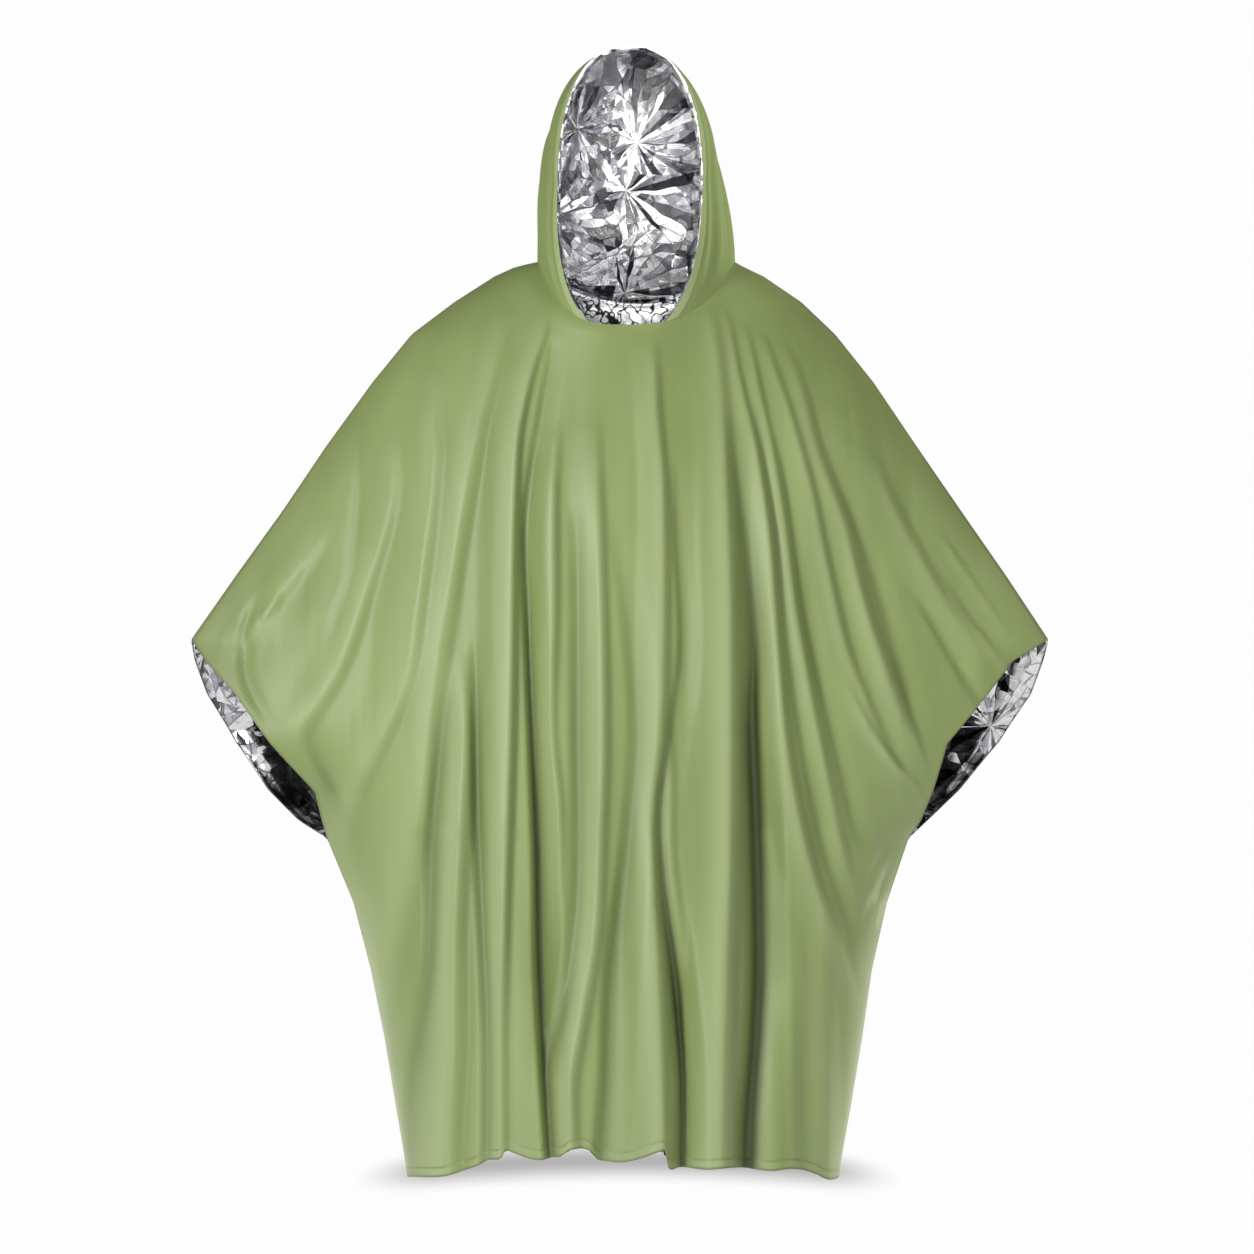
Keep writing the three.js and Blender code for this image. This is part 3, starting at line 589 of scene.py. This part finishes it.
# %% [markdown]
# ## Node helpers
# A material is a network of nodes. The networks here repeat the same few steps, such as a noise, a
# calculation, a mix of two colours or a ramp. Each step gets a helper that makes the node, joins its inputs
# and returns the output to go on with. What goes in is a number, a colour or another node's output.


# %% Node helpers
def new_material(name):
    """A node material with its nodes, its links and its Principled shader."""
    material = bpy.data.materials.new(name)
    material.use_nodes = True
    nodes, links = material.node_tree.nodes, material.node_tree.links
    return material, nodes, links, nodes["Principled BSDF"]


def put(links, value, socket):
    """Joins another node's output to a socket, or sets the socket to a number, a vector or a colour."""
    if isinstance(value, bpy.types.NodeSocket):
        links.new(value, socket)
    else:
        socket.default_value = value


def calculation(nodes, links, operation, *values):
    """A Math node with a number or an output at each input."""
    node = nodes.new("ShaderNodeMath")
    node.operation = operation
    for value, socket in zip(values, node.inputs):
        put(links, value, socket)
    return node.outputs[0]


def vector_calculation(nodes, links, operation, *values, output=0):
    """A Vector Math node with a vector or an output at each input; returns its vector (0) or number (1)."""
    node = nodes.new("ShaderNodeVectorMath")
    node.operation = operation
    for value, socket in zip(values, node.inputs):
        put(links, value, socket)
    return node.outputs[output]


def scaled(nodes, links, vector, share):
    """A vector or a colour times a number."""
    node = nodes.new("ShaderNodeVectorMath")
    node.operation = "SCALE"
    put(links, vector, node.inputs[0])
    put(links, share, node.inputs["Scale"])
    return node.outputs[0]


def ranged(nodes, links, value, taken, given, kind="LINEAR"):
    """The value, mapped from the range taken to the range given and held inside it."""
    node = nodes.new("ShaderNodeMapRange")
    node.interpolation_type = kind
    node.inputs["From Min"].default_value, node.inputs["From Max"].default_value = taken
    node.inputs["To Min"].default_value, node.inputs["To Max"].default_value = given
    links.new(value, node.inputs["Value"])
    return node.outputs["Result"]


def mixed(nodes, links, share, first, second):
    """The first colour where the share is 0, the second where it is 1, and a mix between."""
    node = nodes.new("ShaderNodeMix")
    node.data_type = "RGBA"
    for value, socket in ((share, node.inputs[0]), (first, node.inputs[6]), (second, node.inputs[7])):
        put(links, value, socket)
    return node.outputs[2]


def ramp(nodes, links, value, stops, kind="LINEAR"):
    """The colour at a value, from stops of (position, colour) in rising order."""
    node = nodes.new("ShaderNodeValToRGB")
    node.color_ramp.interpolation = kind
    elements = node.color_ramp.elements
    elements[0].position, elements[1].position = stops[0][0], stops[-1][0]
    for position, _ in stops[1:-1]:
        elements.new(position)
    for element, (_, colour) in zip(elements, stops):
        element.color = (*colour, 1)
    links.new(value, node.inputs["Fac"])
    return node.outputs["Color"]


def attribute(nodes, name):
    """The number that the mesh carries at each of its points under a name."""
    node = nodes.new("ShaderNodeAttribute")
    node.attribute_name = name
    return node.outputs["Fac"]


def mapped(nodes, links, place, scale, location=(0, 0, 0)):
    """Coordinates times a scale along each axis, plus a location."""
    node = nodes.new("ShaderNodeMapping")
    node.inputs["Scale"].default_value = scale
    node.inputs["Location"].default_value = location
    links.new(place, node.inputs["Vector"])
    return node.outputs["Vector"]


def noise(nodes, links, place, scale, detail, distortion=0, output="Fac"):
    """Soft noise as a number, or as a random vector with the output Color."""
    node = nodes.new("ShaderNodeTexNoise")
    for key, value in (("Scale", scale), ("Detail", detail), ("Distortion", distortion)):
        node.inputs[key].default_value = value
    links.new(place, node.inputs["Vector"])
    return node.outputs[output]


def cells(nodes, links, place, dimensions, feature="F1", randomness=1):
    """Voronoi cells, one apart. Returns the node, since more than one of its outputs is of use."""
    node = nodes.new("ShaderNodeTexVoronoi")
    node.voronoi_dimensions = dimensions
    node.feature = feature
    node.inputs["Scale"].default_value = 1
    node.inputs["Randomness"].default_value = randomness
    links.new(place, node.inputs["Vector"])
    return node


# %% [markdown]
# ## Green film
# The film is a satin plastic. Its green varies a little in large soft clouds, and very fine ripples break up
# its highlights. Both patterns are drawn out along the height, as ripples in hanging film are. The mesh
# carries two numbers at each point, since no noise knows where the folds and the seams are. The first makes
# the film paler: at the turned hems, by a painted highlight on the gentle flank of each crest, and by painted
# glints on the crinkled patch at the right side seam. The second makes it darker: in a line at each seam and
# at the hem's seal, and by painted shade in the troughs and along the shoulders.

# %% Green film
# the third green is for the turned hems and the painted highlights, the fourth for the seam lines and the painted
# shade
FILM_COLOUR = (0.285, 0.355, 0.128)
FILM_DARK = (0.228, 0.29, 0.097)
FILM_HEM_AND_SHEEN = (0.38, 0.455, 0.215)
FILM_SEAM_AND_SHADE = (0.068, 0.09, 0.03)
FILM_GRAIN = (1.0, 1.0, 0.35)  # under 1 a pattern is longer along that axis
CLOUD_SCALE = 9
RIPPLE_SCALE = 45


def film_material(name):
    """Green film: two greens mixed by soft noise, then paler by one attribute, the turned hems and painted
    highlights, and darker by another, the seam lines and painted shade. The roughness follows the same noise,
    and a finer noise gives a low bump."""
    material, nodes, links, shader = new_material(name)
    place = mapped(nodes, links, nodes.new("ShaderNodeTexCoord").outputs["Object"], FILM_GRAIN)
    clouds = noise(nodes, links, place, CLOUD_SCALE, 3)
    share = ranged(nodes, links, clouds, (0.3, 0.6), (0, 1))
    greens = mixed(nodes, links, share, (*FILM_DARK, 1), (*FILM_COLOUR, 1))
    # paler at the turned hems and by painted highlight and painted glints, darker at seam lines and by painted
    # shade
    with_hem_and_sheen = mixed(nodes, links, attribute(nodes, "hem_and_painted_sheen"), greens, (*FILM_HEM_AND_SHEEN, 1))
    with_seams_and_shade = mixed(nodes, links, attribute(nodes, "seams_and_painted_shade"), with_hem_and_sheen, (*FILM_SEAM_AND_SHADE, 1))
    links.new(with_seams_and_shade, shader.inputs["Base Color"])
    shader.inputs["Specular IOR Level"].default_value = 0.4
    links.new(ranged(nodes, links, clouds, (0, 1), (0.4, 0.5)), shader.inputs["Roughness"])

    bump = nodes.new("ShaderNodeBump")
    bump.inputs["Strength"].default_value = 0.12
    bump.inputs["Distance"].default_value = 0.002
    links.new(noise(nodes, links, place, RIPPLE_SCALE, 4), bump.inputs["Height"])
    links.new(bump.outputs["Normal"], shader.inputs["Normal"])
    return material


film = film_material("film")
print("film:", len(film.node_tree.nodes), "nodes")

# %% [markdown]
# ## Creases that meet in stars
# Foil that is pushed in at one point creases in a star: sharp folds run out from the point, with long flat
# facets between them. Plain cells are as wide as they are long. Cells drawn over the angle and the distance
# from a point are narrow at the point and open out from it, so they give the star.


# %% Creases that meet in stars
def star_folds(nodes, links, place, centre, size, wedges, lengths):
    """Facets that fan out from star points, which lie about size metres apart with one near centre. Each
    point belongs to its nearest star. Cells are drawn over its angle round that star and its distance from
    it, so that they are narrow at the star and wide farther out. The first output is a random colour a cell,
    and the second the distance from a cell's border."""
    location = [0.5 - c / size for c in centre]
    near = mapped(nodes, links, place, (1 / size, 1 / size, 1 / size), location)
    stars = cells(nodes, links, near, "3D", randomness=0.6)
    away = vector_calculation(nodes, links, "SUBTRACT", near, stars.outputs["Position"])
    parts = nodes.new("ShaderNodeSeparateXYZ")
    links.new(away, parts.inputs["Vector"])
    across = calculation(nodes, links, "MULTIPLY_ADD", parts.outputs["Y"], 0.7, parts.outputs["X"])
    angle = calculation(nodes, links, "ARCTAN2", parts.outputs["Z"], across)
    chance = nodes.new("ShaderNodeSeparateColor")
    links.new(stars.outputs["Color"], chance.inputs["Color"])
    start = calculation(nodes, links, "MULTIPLY", chance.outputs["Red"], 37.0)
    polar = nodes.new("ShaderNodeCombineXYZ")
    turned = calculation(nodes, links, "MULTIPLY_ADD", angle, wedges / (2 * np.pi), start)
    links.new(turned, polar.inputs["X"])
    links.new(calculation(nodes, links, "MULTIPLY", stars.outputs["Distance"], lengths), polar.inputs["Y"])
    shards = cells(nodes, links, polar.outputs["Vector"], "2D")
    borders = cells(nodes, links, polar.outputs["Vector"], "2D", feature="DISTANCE_TO_EDGE")
    return shards.outputs["Color"], borders.outputs["Distance"]


# %% [markdown]
# ## Silver foil
# The foil is bare metal, so it shows little but what it mirrors, and each facet mirrors another part of the
# room. Large stars give the broad shards, and small ones break them up. Each facet leans its own way, and a
# painted reflection gives it a random grey on top of what it really mirrors. Painted shade darkens the
# facets' borders, and painted shade runs over them in fine streaks. At the nape the facets give way to a band
# of curly creases. The mesh says where: it carries scribble for the band, painted shade for foil deep in a
# hollow and painted light for the hood's crown, cut_edge for a raw edge and glint for a painted white glint at
# a turned one.

# %% Silver foil
FOIL_ROUGHNESS = 0.22
FOIL_GRAIN = (1.0, 0.35, 1.0)  # drawn out from front to back, so that side walls aren't crowded with facets
LARGE_STARS = ((0.058, 0.0455, 0.112), 0.11, 30, 2.6)  # centre, metres apart, wedges, lengths
SMALL_STARS = ((0.03, 0.0455, 0.14), 0.034, 9, 2.2)
SMALL_SHARE = 0.28
FOIL_REFLECTION_GREYS = [(0.19, (0.1, 0.1, 0.115)), (0.35, (0.56, 0.56, 0.6)), (0.46, (1, 1, 1))]
CURL_LINES = [(0.022, (0.03, 0.03, 0.035)), (0.045, (1, 1, 1))]
RAW_EDGE = (0.02, 0.02, 0.022, 1)
WHITE = (1, 1, 1, 1)


def foil_colour_and_reflections(nodes, links, bent, facets, scribble):
    """The foil's colour: a painted reflection, a grey from each facet's random number that stands in for what the
    facet mirrors, and in the band at the nape the foil's own dark lines on white wherever a noise crosses its
    middle value."""
    parts = nodes.new("ShaderNodeSeparateColor")
    links.new(facets, parts.inputs["Color"])
    reflection_greys = ramp(nodes, links, parts.outputs["Red"], FOIL_REFLECTION_GREYS)
    from_line = calculation(nodes, links, "SUBTRACT", noise(nodes, links, bent, 75, 1), 0.5)
    curls = ramp(nodes, links, calculation(nodes, links, "ABSOLUTE", from_line), CURL_LINES)
    return mixed(nodes, links, scribble, reflection_greys, curls)


def foil_painted_light(nodes, links, bent, borders, scribble):
    """Painted shade and light: how much of its colour each point keeps. Less in painted streaks of shade and along
    the facets' borders, except in the band at the nape, then less again where the mesh carries painted shade
    and more where it carries painted light."""
    kept = ranged(nodes, links, noise(nodes, links, bent, 70, 3, 1.6), (0.32, 0.55), (0.75, 1))
    for border, (wide, dark) in zip(borders, ((0.06, 0.35), (0.04, 0.7))):
        line = ranged(nodes, links, border, (0.01, wide), (dark, 1))
        kept = calculation(nodes, links, "MULTIPLY", kept, line)
    plain = calculation(nodes, links, "SUBTRACT", 1.0, scribble)
    lost = calculation(nodes, links, "SUBTRACT", 1.0, kept)
    lost = calculation(nodes, links, "MULTIPLY", plain, lost)
    kept = calculation(nodes, links, "SUBTRACT", 1.0, lost)
    dimmed = calculation(nodes, links, "MULTIPLY_ADD", attribute(nodes, "painted_shade_and_light"), -1.0, 1.0)
    return calculation(nodes, links, "MULTIPLY", kept, dimmed)


def foil_facing(nodes, links, facets, scribble):
    """Which way each facet faces: the sheet's normal plus the facet's random vector, which is small in the
    band at the nape, where the sheet faces up a little more instead."""
    centred = vector_calculation(nodes, links, "SUBTRACT", facets, (0.5, 0.5, 0.5))
    tilt = scaled(nodes, links, centred, calculation(nodes, links, "MULTIPLY_ADD", scribble, -0.85, 0.9))
    raised = nodes.new("ShaderNodeCombineXYZ")
    links.new(calculation(nodes, links, "MULTIPLY", scribble, 0.16), raised.inputs["Z"])
    lean = vector_calculation(nodes, links, "ADD", tilt, raised.outputs["Vector"])
    normal = nodes.new("ShaderNodeNewGeometry").outputs["Normal"]
    tilted = vector_calculation(nodes, links, "ADD", normal, lean)
    return vector_calculation(nodes, links, "NORMALIZE", tilted)


def foil_material(name):
    """Silver foil: bare metal whose facets fan out from stars, over coordinates bent a little by noise. Its colour
    is a painted reflection, scaled by painted shade and light, made white by a painted glint and near black by
    cut_edge."""
    material, nodes, links, shader = new_material(name)
    shader.inputs["Metallic"].default_value = 1.0
    shader.inputs["Roughness"].default_value = FOIL_ROUGHNESS
    place = mapped(nodes, links, nodes.new("ShaderNodeTexCoord").outputs["Object"], FOIL_GRAIN)
    warp = noise(nodes, links, place, 22, 1, output="Color")
    shift = vector_calculation(nodes, links, "MULTIPLY", warp, (0.012, 0.012, 0.012))
    bent = vector_calculation(nodes, links, "ADD", place, shift)
    large, large_border = star_folds(nodes, links, bent, *LARGE_STARS)
    small, small_border = star_folds(nodes, links, bent, *SMALL_STARS)
    facets = mixed(nodes, links, SMALL_SHARE, large, small)
    scribble = attribute(nodes, "scribble")

    colour = foil_colour_and_reflections(nodes, links, bent, facets, scribble)
    # painted shade and painted light on the foil's colour
    painted_light = foil_painted_light(nodes, links, bent, (large_border, small_border), scribble)
    toned = vector_calculation(nodes, links, "MINIMUM", scaled(nodes, links, colour, painted_light), WHITE[:3])
    # a painted white glint at a turned edge, near black at a raw one
    brighter = mixed(nodes, links, attribute(nodes, "glint"), toned, WHITE)
    darker = mixed(nodes, links, attribute(nodes, "cut_edge"), brighter, RAW_EDGE)
    links.new(darker, shader.inputs["Base Color"])
    links.new(foil_facing(nodes, links, facets, scribble), shader.inputs["Normal"])
    return material


foil = foil_material("foil")
print("foil:", len(foil.node_tree.nodes), "nodes")

# %% [markdown]
# ## Body panels
# The front and the back are each cut in one piece with their sleeves and are sealed together along the
# shoulders and the sides. The hem is turned up and sealed flat, which shows as a slightly raised edge. The
# film is darker in a narrow line at each seam and at the seal of the hem. Painted shade darkens it in the
# folds' troughs and for some way along the shoulders, and a painted highlight makes the gentle flank of each
# crest paler. Each piece is its grid of points, its two tones and a green film.

# %% Body film
GRID = {"front": (240, 300), "back": (200, 240)}
for side, outward in (("front", -1), ("back", 1)):
    points, s, z = body_grid(side, *GRID[side], closer=-0.2)
    face = normals_of(points, outward)
    turned = smooth((HEM_WIDTH + 1 - (z - HEM_Z)) / 1.5)
    points = points + face * (HEM_RAISE * turned)[..., None]
    folds = FRONT_FOLDS if side == "front" else BACK_FOLDS
    # painted highlight along the crests and painted shade in the troughs
    painted_sheen, seams_and_painted_shade = (painted_fold_light(folds, points[..., 0], points[..., 2], crests) for crests in (True, False))
    steps = np.linalg.norm(np.diff(points, axis=1, prepend=points[:, :1]), axis=-1)
    from_left = np.cumsum(steps, axis=1)
    to_seam = np.minimum(from_left, from_left[:, -1:] - from_left)
    # painted shade for some way along the shoulder seams
    painted_shoulder_shade = (1 - smooth(to_seam / SHOULDER_SHADE)) * smooth((z - UNDERARM_Z) / 120)
    seams_and_painted_shade = np.clip(seams_and_painted_shade + SHOULDER_PAINTED_SHADE * painted_shoulder_shade, 0, 1)
    seams_and_painted_shade = np.maximum(seams_and_painted_shade, 0.7 * (1 - smooth((to_seam - 1) / SEAM_WIDTH)))
    above_hem = z - HEM_Z
    seal = 0.26 * (np.abs(above_hem - HEM_WIDTH) < 1.5) + 0.6 * (above_hem < 2)
    seams_and_painted_shade = np.maximum(seams_and_painted_shade, seal)
    hem_and_painted_sheen = 0.2 * turned + 0.85 * painted_sheen * (1 - seams_and_painted_shade)
    if side == "front":
        # painted glints on the ridges of the crinkled patch
        glinting_ridges = smooth((crinkle(points, **PATCH_CREASES) - 0.5) / 0.12)
        hem_and_painted_sheen = hem_and_painted_sheen + 2.4 * patch(points) * glinting_ridges
    tones = {"hem_and_painted_sheen": np.clip(hem_and_painted_sheen, 0, 1), "seams_and_painted_shade": seams_and_painted_shade}
    add_sheet(f"film_{side}", points, outward, film, f"{side}_panel", tones)

# %% [markdown]
# The foil lies inside the film and stands off it where it is crinkled. Only what shows through the sleeve
# mouths, the hem and the face opening can be seen. Towards a seam the front's foil and the back's run
# together, so there each stays on its own side of the seam. Foil deep in a sleeve gets painted shade.

# %% Body foil
HEM_STEP_X = 50  # where the front's hem steps down, and the foil lies closer to the film
FOIL_GRID = {"front": (200, 220), "back": (240, 280)}
for side, outward in (("front", -1), ("back", 1)):
    film_points, s, z = body_grid(side, *FOIL_GRID[side], closer=0.5)
    face = normals_of(film_points, outward)
    edge = smooth((1 - np.abs(s)) / 0.03) * smooth(-z / 8) * smooth((z - HEM_Z) / 30)
    at_step = hump(film_points[..., 0] - HEM_STEP_X, 9) * (outward < 0)
    thin = 1 - 0.6 * at_step * (1 - smooth((z - HEM_Z) / 40))
    inside = FILM_THICKNESS * thin + (2 + 9 * crinkle(film_points, 21, (50, 130), 7)) * edge
    room = 0.85 * np.abs(film_points[..., 1]) / np.maximum(np.abs(face[..., 1]), 0.15)
    points = film_points - face * np.minimum(inside, room)[..., None]
    nape = smooth((points[..., 2] + 88) / 10) * (outward > 0)
    cut_edge = (np.abs(s) > 0.9999) * smooth(mouth_open(z) / 0.1)
    # painted shade deep in each sleeve
    sleeve = smooth((np.abs(points[..., 0]) - 300) / 60)
    tones = {"scribble": nape, "cut_edge": cut_edge, "painted_shade_and_light": 0.6 * sleeve}
    add_sheet(
        f"foil_{side}",
        framed(points, film_points),
        -outward,
        foil,
        f"{side}_lining",
        {key: np.pad(values, 1, mode="edge") for key, values in tones.items()},
    )

# %% [markdown]
# ## Hood
# Two halves are sealed together from the face opening over the crown to the nape. The edge of the face
# opening is turned back on itself, so it reads as a paler band. Soft folds run beside it along the hoops,
# and farther back they give way to longer, lower ones. The foil has a broken painted white glint where it
# turns at the edge, painted shade low in the hollow, and painted light in the crown, where it faces the room.

# %% Hood film and foil
for name, side in (("left", -1), ("right", 1)):
    points, back, s = hood_grid(side, 100, 120)
    face = normals_of(points, side)
    face[:, 0, 0] = 0
    face = unit(face)
    steps = np.linalg.norm(np.diff(points, axis=0, prepend=points[:1]), axis=-1)
    from_rim = np.cumsum(steps, axis=0)
    turned = smooth((RIM_WIDTH + 1 - from_rim) / 2)
    along = np.stack([from_rim, 0 * s, 330 * s * side], -1)
    inner = smooth((from_rim - RIM_WIDTH) / 20) * smooth((1 - s) / 0.15) * smooth(s / 0.1)
    beside_face = 1 - smooth((back - 0.3) / 0.3)
    uneven = beside_face * wrinkles(along, 31, 2.0, across=(34, 80), along=(300, 900))
    uneven += (1 - beside_face) * wrinkles(points, 34, 1.6, across=(60, 130), along=(160, 420))
    lift = HEM_RAISE * turned + inner * uneven
    points = points + face * lift[..., None]
    add_sheet(
        f"film_hood_{name}", points, side, film, f"hood_{name}", {"hem_and_painted_sheen": turned}
    )

    film_points, back, s = hood_grid(side, 160, 190)
    face = normals_of(film_points, side)
    face[:, 0, 0] = 0
    face = unit(face)
    edge = smooth(back / 0.02) * smooth((1 - s) / 0.03) * smooth((1 - back) / 0.03)
    inside = FILM_THICKNESS + 8 * crinkle(film_points, 22, (45, 110), 8) * edge
    points = film_points - face * inside[..., None]
    rim = film_points + face * HEM_RAISE * (back < 1e-6)[..., None]
    # a painted white glint along the turned edge, broken along its length
    broken = smooth(0.6 + 0.4 * np.sin(29 * s) + 0.4 * np.sin(67 * s + 1))
    glint = np.pad(0.8 * (1 - smooth(back / 0.01)) * broken, 1, mode="edge")[:, 1:]
    # painted shade low in the hollow, painted light in the crown
    low, high = smooth((100 - points[..., 2]) / 110), smooth((points[..., 2] - 90) / 60)
    painted_shade_and_light = np.pad(0.5 * low - 0.9 * high, 1, mode="edge")[:, 1:]
    add_sheet(
        f"foil_hood_{name}",
        framed(points, rim)[:, 1:],
        -side,
        foil,
        f"hood_lining_{name}",
        {"glint": glint, "painted_shade_and_light": painted_shade_and_light},
    )

# %% [markdown]
# Laid flat, the front and the back are each a wide T of film, and each half of the hood is a rounded panel.

# %% [markdown]
# ## Floor
# A pale floor lies just below the hem. Its soft shade is drawn in the floor's own material, over the place
# on the floor, and isn't cast by a lamp: that keeps the floor as near to white as the backdrop. The floor
# is brighter for the camera and for reflections than for soft light, so that it doesn't light up the folds.

# %% Floor
FLOOR_Z = -1.1425
FLOOR_REACH = 6.0
SHADE_HALF = (0.23, 0.08)  # half the width of the even shade, and how far it fades beyond
SHADE_LINE = (0.12, -1.1, 0.13)  # its middle's y, how that bends with x squared, and how far it fades
SHADE_TONES = [(0.0, (0.45, 0.45, 0.45)), (0.75, (0.985, 0.985, 0.985))]

mesh = bpy.data.meshes.new("floor")
corners = [(x * FLOOR_REACH, y * FLOOR_REACH, FLOOR_Z) for x, y in ((-1, -1), (1, -1), (1, 1), (-1, 1))]
mesh.from_pydata(corners, [], [(0, 1, 2, 3)])
floor = bpy.data.objects.new("floor", mesh)
bpy.context.scene.collection.objects.link(floor)
floor_paint, nodes, links, shader = new_material("floor")
nodes.remove(shader)
parts = nodes.new("ShaderNodeSeparateXYZ")
links.new(nodes.new("ShaderNodeTexCoord").outputs["Object"], parts.inputs["Vector"])
x, y = parts.outputs["X"], parts.outputs["Y"]
beyond = calculation(nodes, links, "SUBTRACT", calculation(nodes, links, "ABSOLUTE", x), SHADE_HALF[0])
beyond = calculation(nodes, links, "MAXIMUM", beyond, 0.0)
beyond = calculation(nodes, links, "DIVIDE", beyond, SHADE_HALF[1])
squared = calculation(nodes, links, "MULTIPLY", x, x)
middle_y = calculation(nodes, links, "MULTIPLY_ADD", squared, SHADE_LINE[1], SHADE_LINE[0])
before = calculation(nodes, links, "SUBTRACT", middle_y, y)
before = calculation(nodes, links, "DIVIDE", before, SHADE_LINE[2])
both = [calculation(nodes, links, "MULTIPLY", value, value) for value in (beyond, before)]
distance = calculation(nodes, links, "SQRT", calculation(nodes, links, "ADD", *both))
from_shade = calculation(nodes, links, "MULTIPLY", distance, 0.5)
glow = nodes.new("ShaderNodeEmission")
links.new(ramp(nodes, links, from_shade, SHADE_TONES, kind="EASE"), glow.inputs["Color"])
seen = nodes.new("ShaderNodeLightPath")
brightness = calculation(nodes, links, "MULTIPLY_ADD", seen.outputs["Is Camera Ray"], 0.6, 0.4)
brightness = calculation(nodes, links, "MULTIPLY_ADD", seen.outputs["Is Glossy Ray"], 1.5, brightness)
links.new(brightness, glow.inputs["Strength"])
links.new(glow.outputs["Emission"], nodes["Material Output"].inputs["Surface"])
mesh.materials.append(floor_paint)
print("floor at", FLOOR_Z, "m")

# %% [markdown]
# ## Lamps
# One tall soft lamp stands in front at the left and makes the pale flanks of the folds. Three softer ones, in
# front at the right and behind on both sides, keep the other sides from going black. Those three aren't
# mirrored, since their outlines would show in the foil.


# %% Lamps
def lamp(name, place, target, width, height, power, mirrored):
    """A soft box at place that faces target, with its width and height in metres and its power in watts."""
    data = bpy.data.lights.new(name, "AREA")
    data.shape = "RECTANGLE"
    data.size = width
    data.size_y = height
    data.energy = power
    found = bpy.data.objects.new(name, data)
    bpy.context.scene.collection.objects.link(found)
    found.location = place
    found.rotation_euler = (Vector(target) - Vector(place)).to_track_quat("-Z", "Y").to_euler()
    found.visible_camera = False
    found.visible_glossy = mirrored
    print(f"{name}: {power} W")


lamp("key", (-2.5, -3.1, 0.35), (0, 0, -0.35), 0.8, 2.8, 125, mirrored=True)
lamp("fill", (2.9, -2.1, 0.6), (0, 0, -0.5), 1.6, 2.0, 50, mirrored=False)
lamp("behind", (3.1, 2.5, 0.9), (0, 0, -0.4), 1.0, 2.4, 140, mirrored=False)
lamp("behind_fill", (-2.2, 3.3, 0.7), (0, 0, -0.4), 1.6, 2.0, 50, mirrored=False)

# %% [markdown]
# ## Room
# The room is three things in one. The camera sees a plain near white backdrop. Soft light comes from it only
# weakly, so the lamps shape the folds. What the foil mirrors is the third: patches of light and dark, bright
# in front and a little to the left, dim overhead, with a plain white part straight ahead.

# %% Room
BACKDROP = 0.985
SOFT_LIGHT = 0.12
PATCH_TONES = [(0.4, (0.12, 0.12, 0.13)), (0.56, (1, 1, 1))]
BRIGHTEST = (-0.35, -0.94, 0.0)  # the direction in which the mirrored room is brightest

world = bpy.data.worlds.new("room")
bpy.context.scene.world = world
world.use_nodes = True
nodes, links = world.node_tree.nodes, world.node_tree.links
backdrop = nodes["Background"]
room = nodes.new("ShaderNodeBackground")
mirrored = nodes.new("ShaderNodeBackground")
for part, strength in ((backdrop, BACKDROP), (room, SOFT_LIGHT)):
    part.inputs["Color"].default_value = WHITE
    part.inputs["Strength"].default_value = strength

direction = nodes.new("ShaderNodeTexCoord").outputs["Generated"]
patches = ramp(nodes, links, noise(nodes, links, direction, 3.6, 1), PATCH_TONES)
forward = vector_calculation(nodes, links, "DOT_PRODUCT", direction, (0.0, -1.0, 0.0), output=1)
window = ranged(nodes, links, forward, (0.95, 0.99), (0, 1))
links.new(mixed(nodes, links, window, patches, WHITE), mirrored.inputs["Color"])
ahead = vector_calculation(nodes, links, "DOT_PRODUCT", direction, BRIGHTEST, output=1)
bright_side = ranged(nodes, links, ahead, (0.1, 0.8), (0.12, 2.2), kind="SMOOTHSTEP")
height = nodes.new("ShaderNodeSeparateXYZ")
links.new(direction, height.inputs["Vector"])
overhead = ranged(nodes, links, height.outputs["Z"], (0.1, 0.8), (1.0, 0.6), kind="SMOOTHSTEP")
links.new(calculation(nodes, links, "MULTIPLY", bright_side, overhead), mirrored.inputs["Strength"])

rays = nodes.new("ShaderNodeLightPath")
surface = room.outputs["Background"]
for kind, shown in (("Is Glossy Ray", mirrored), ("Is Camera Ray", backdrop)):
    chosen = nodes.new("ShaderNodeMixShader")
    links.new(rays.outputs[kind], chosen.inputs[0])
    links.new(surface, chosen.inputs[1])
    links.new(shown.outputs["Background"], chosen.inputs[2])
    surface = chosen.outputs["Shader"]
links.new(surface, nodes["World Output"].inputs["Surface"])
bpy.context.scene.view_settings.view_transform = "Standard"
print("room:", len(nodes), "nodes")

# %% [markdown]
# ## Camera
# The camera stands level, four metres in front, at half the garment's height, as in the photograph.

# %% Camera
PICTURE_WIDTH = 1.5675  # metres across the frame at the garment
CAMERA_DISTANCE = 4.0
CAMERA_HEIGHT = -0.456
view = bpy.data.cameras.new("camera")
view.sensor_width = 36
view.lens = view.sensor_width * CAMERA_DISTANCE / PICTURE_WIDTH
camera = bpy.data.objects.new("camera", view)
bpy.context.scene.collection.objects.link(camera)
camera.location = (0, -CAMERA_DISTANCE, CAMERA_HEIGHT)
camera.rotation_euler = (np.pi / 2, 0, 0)
bpy.context.scene.camera = camera
print("lens:", round(view.lens, 1), "mm")
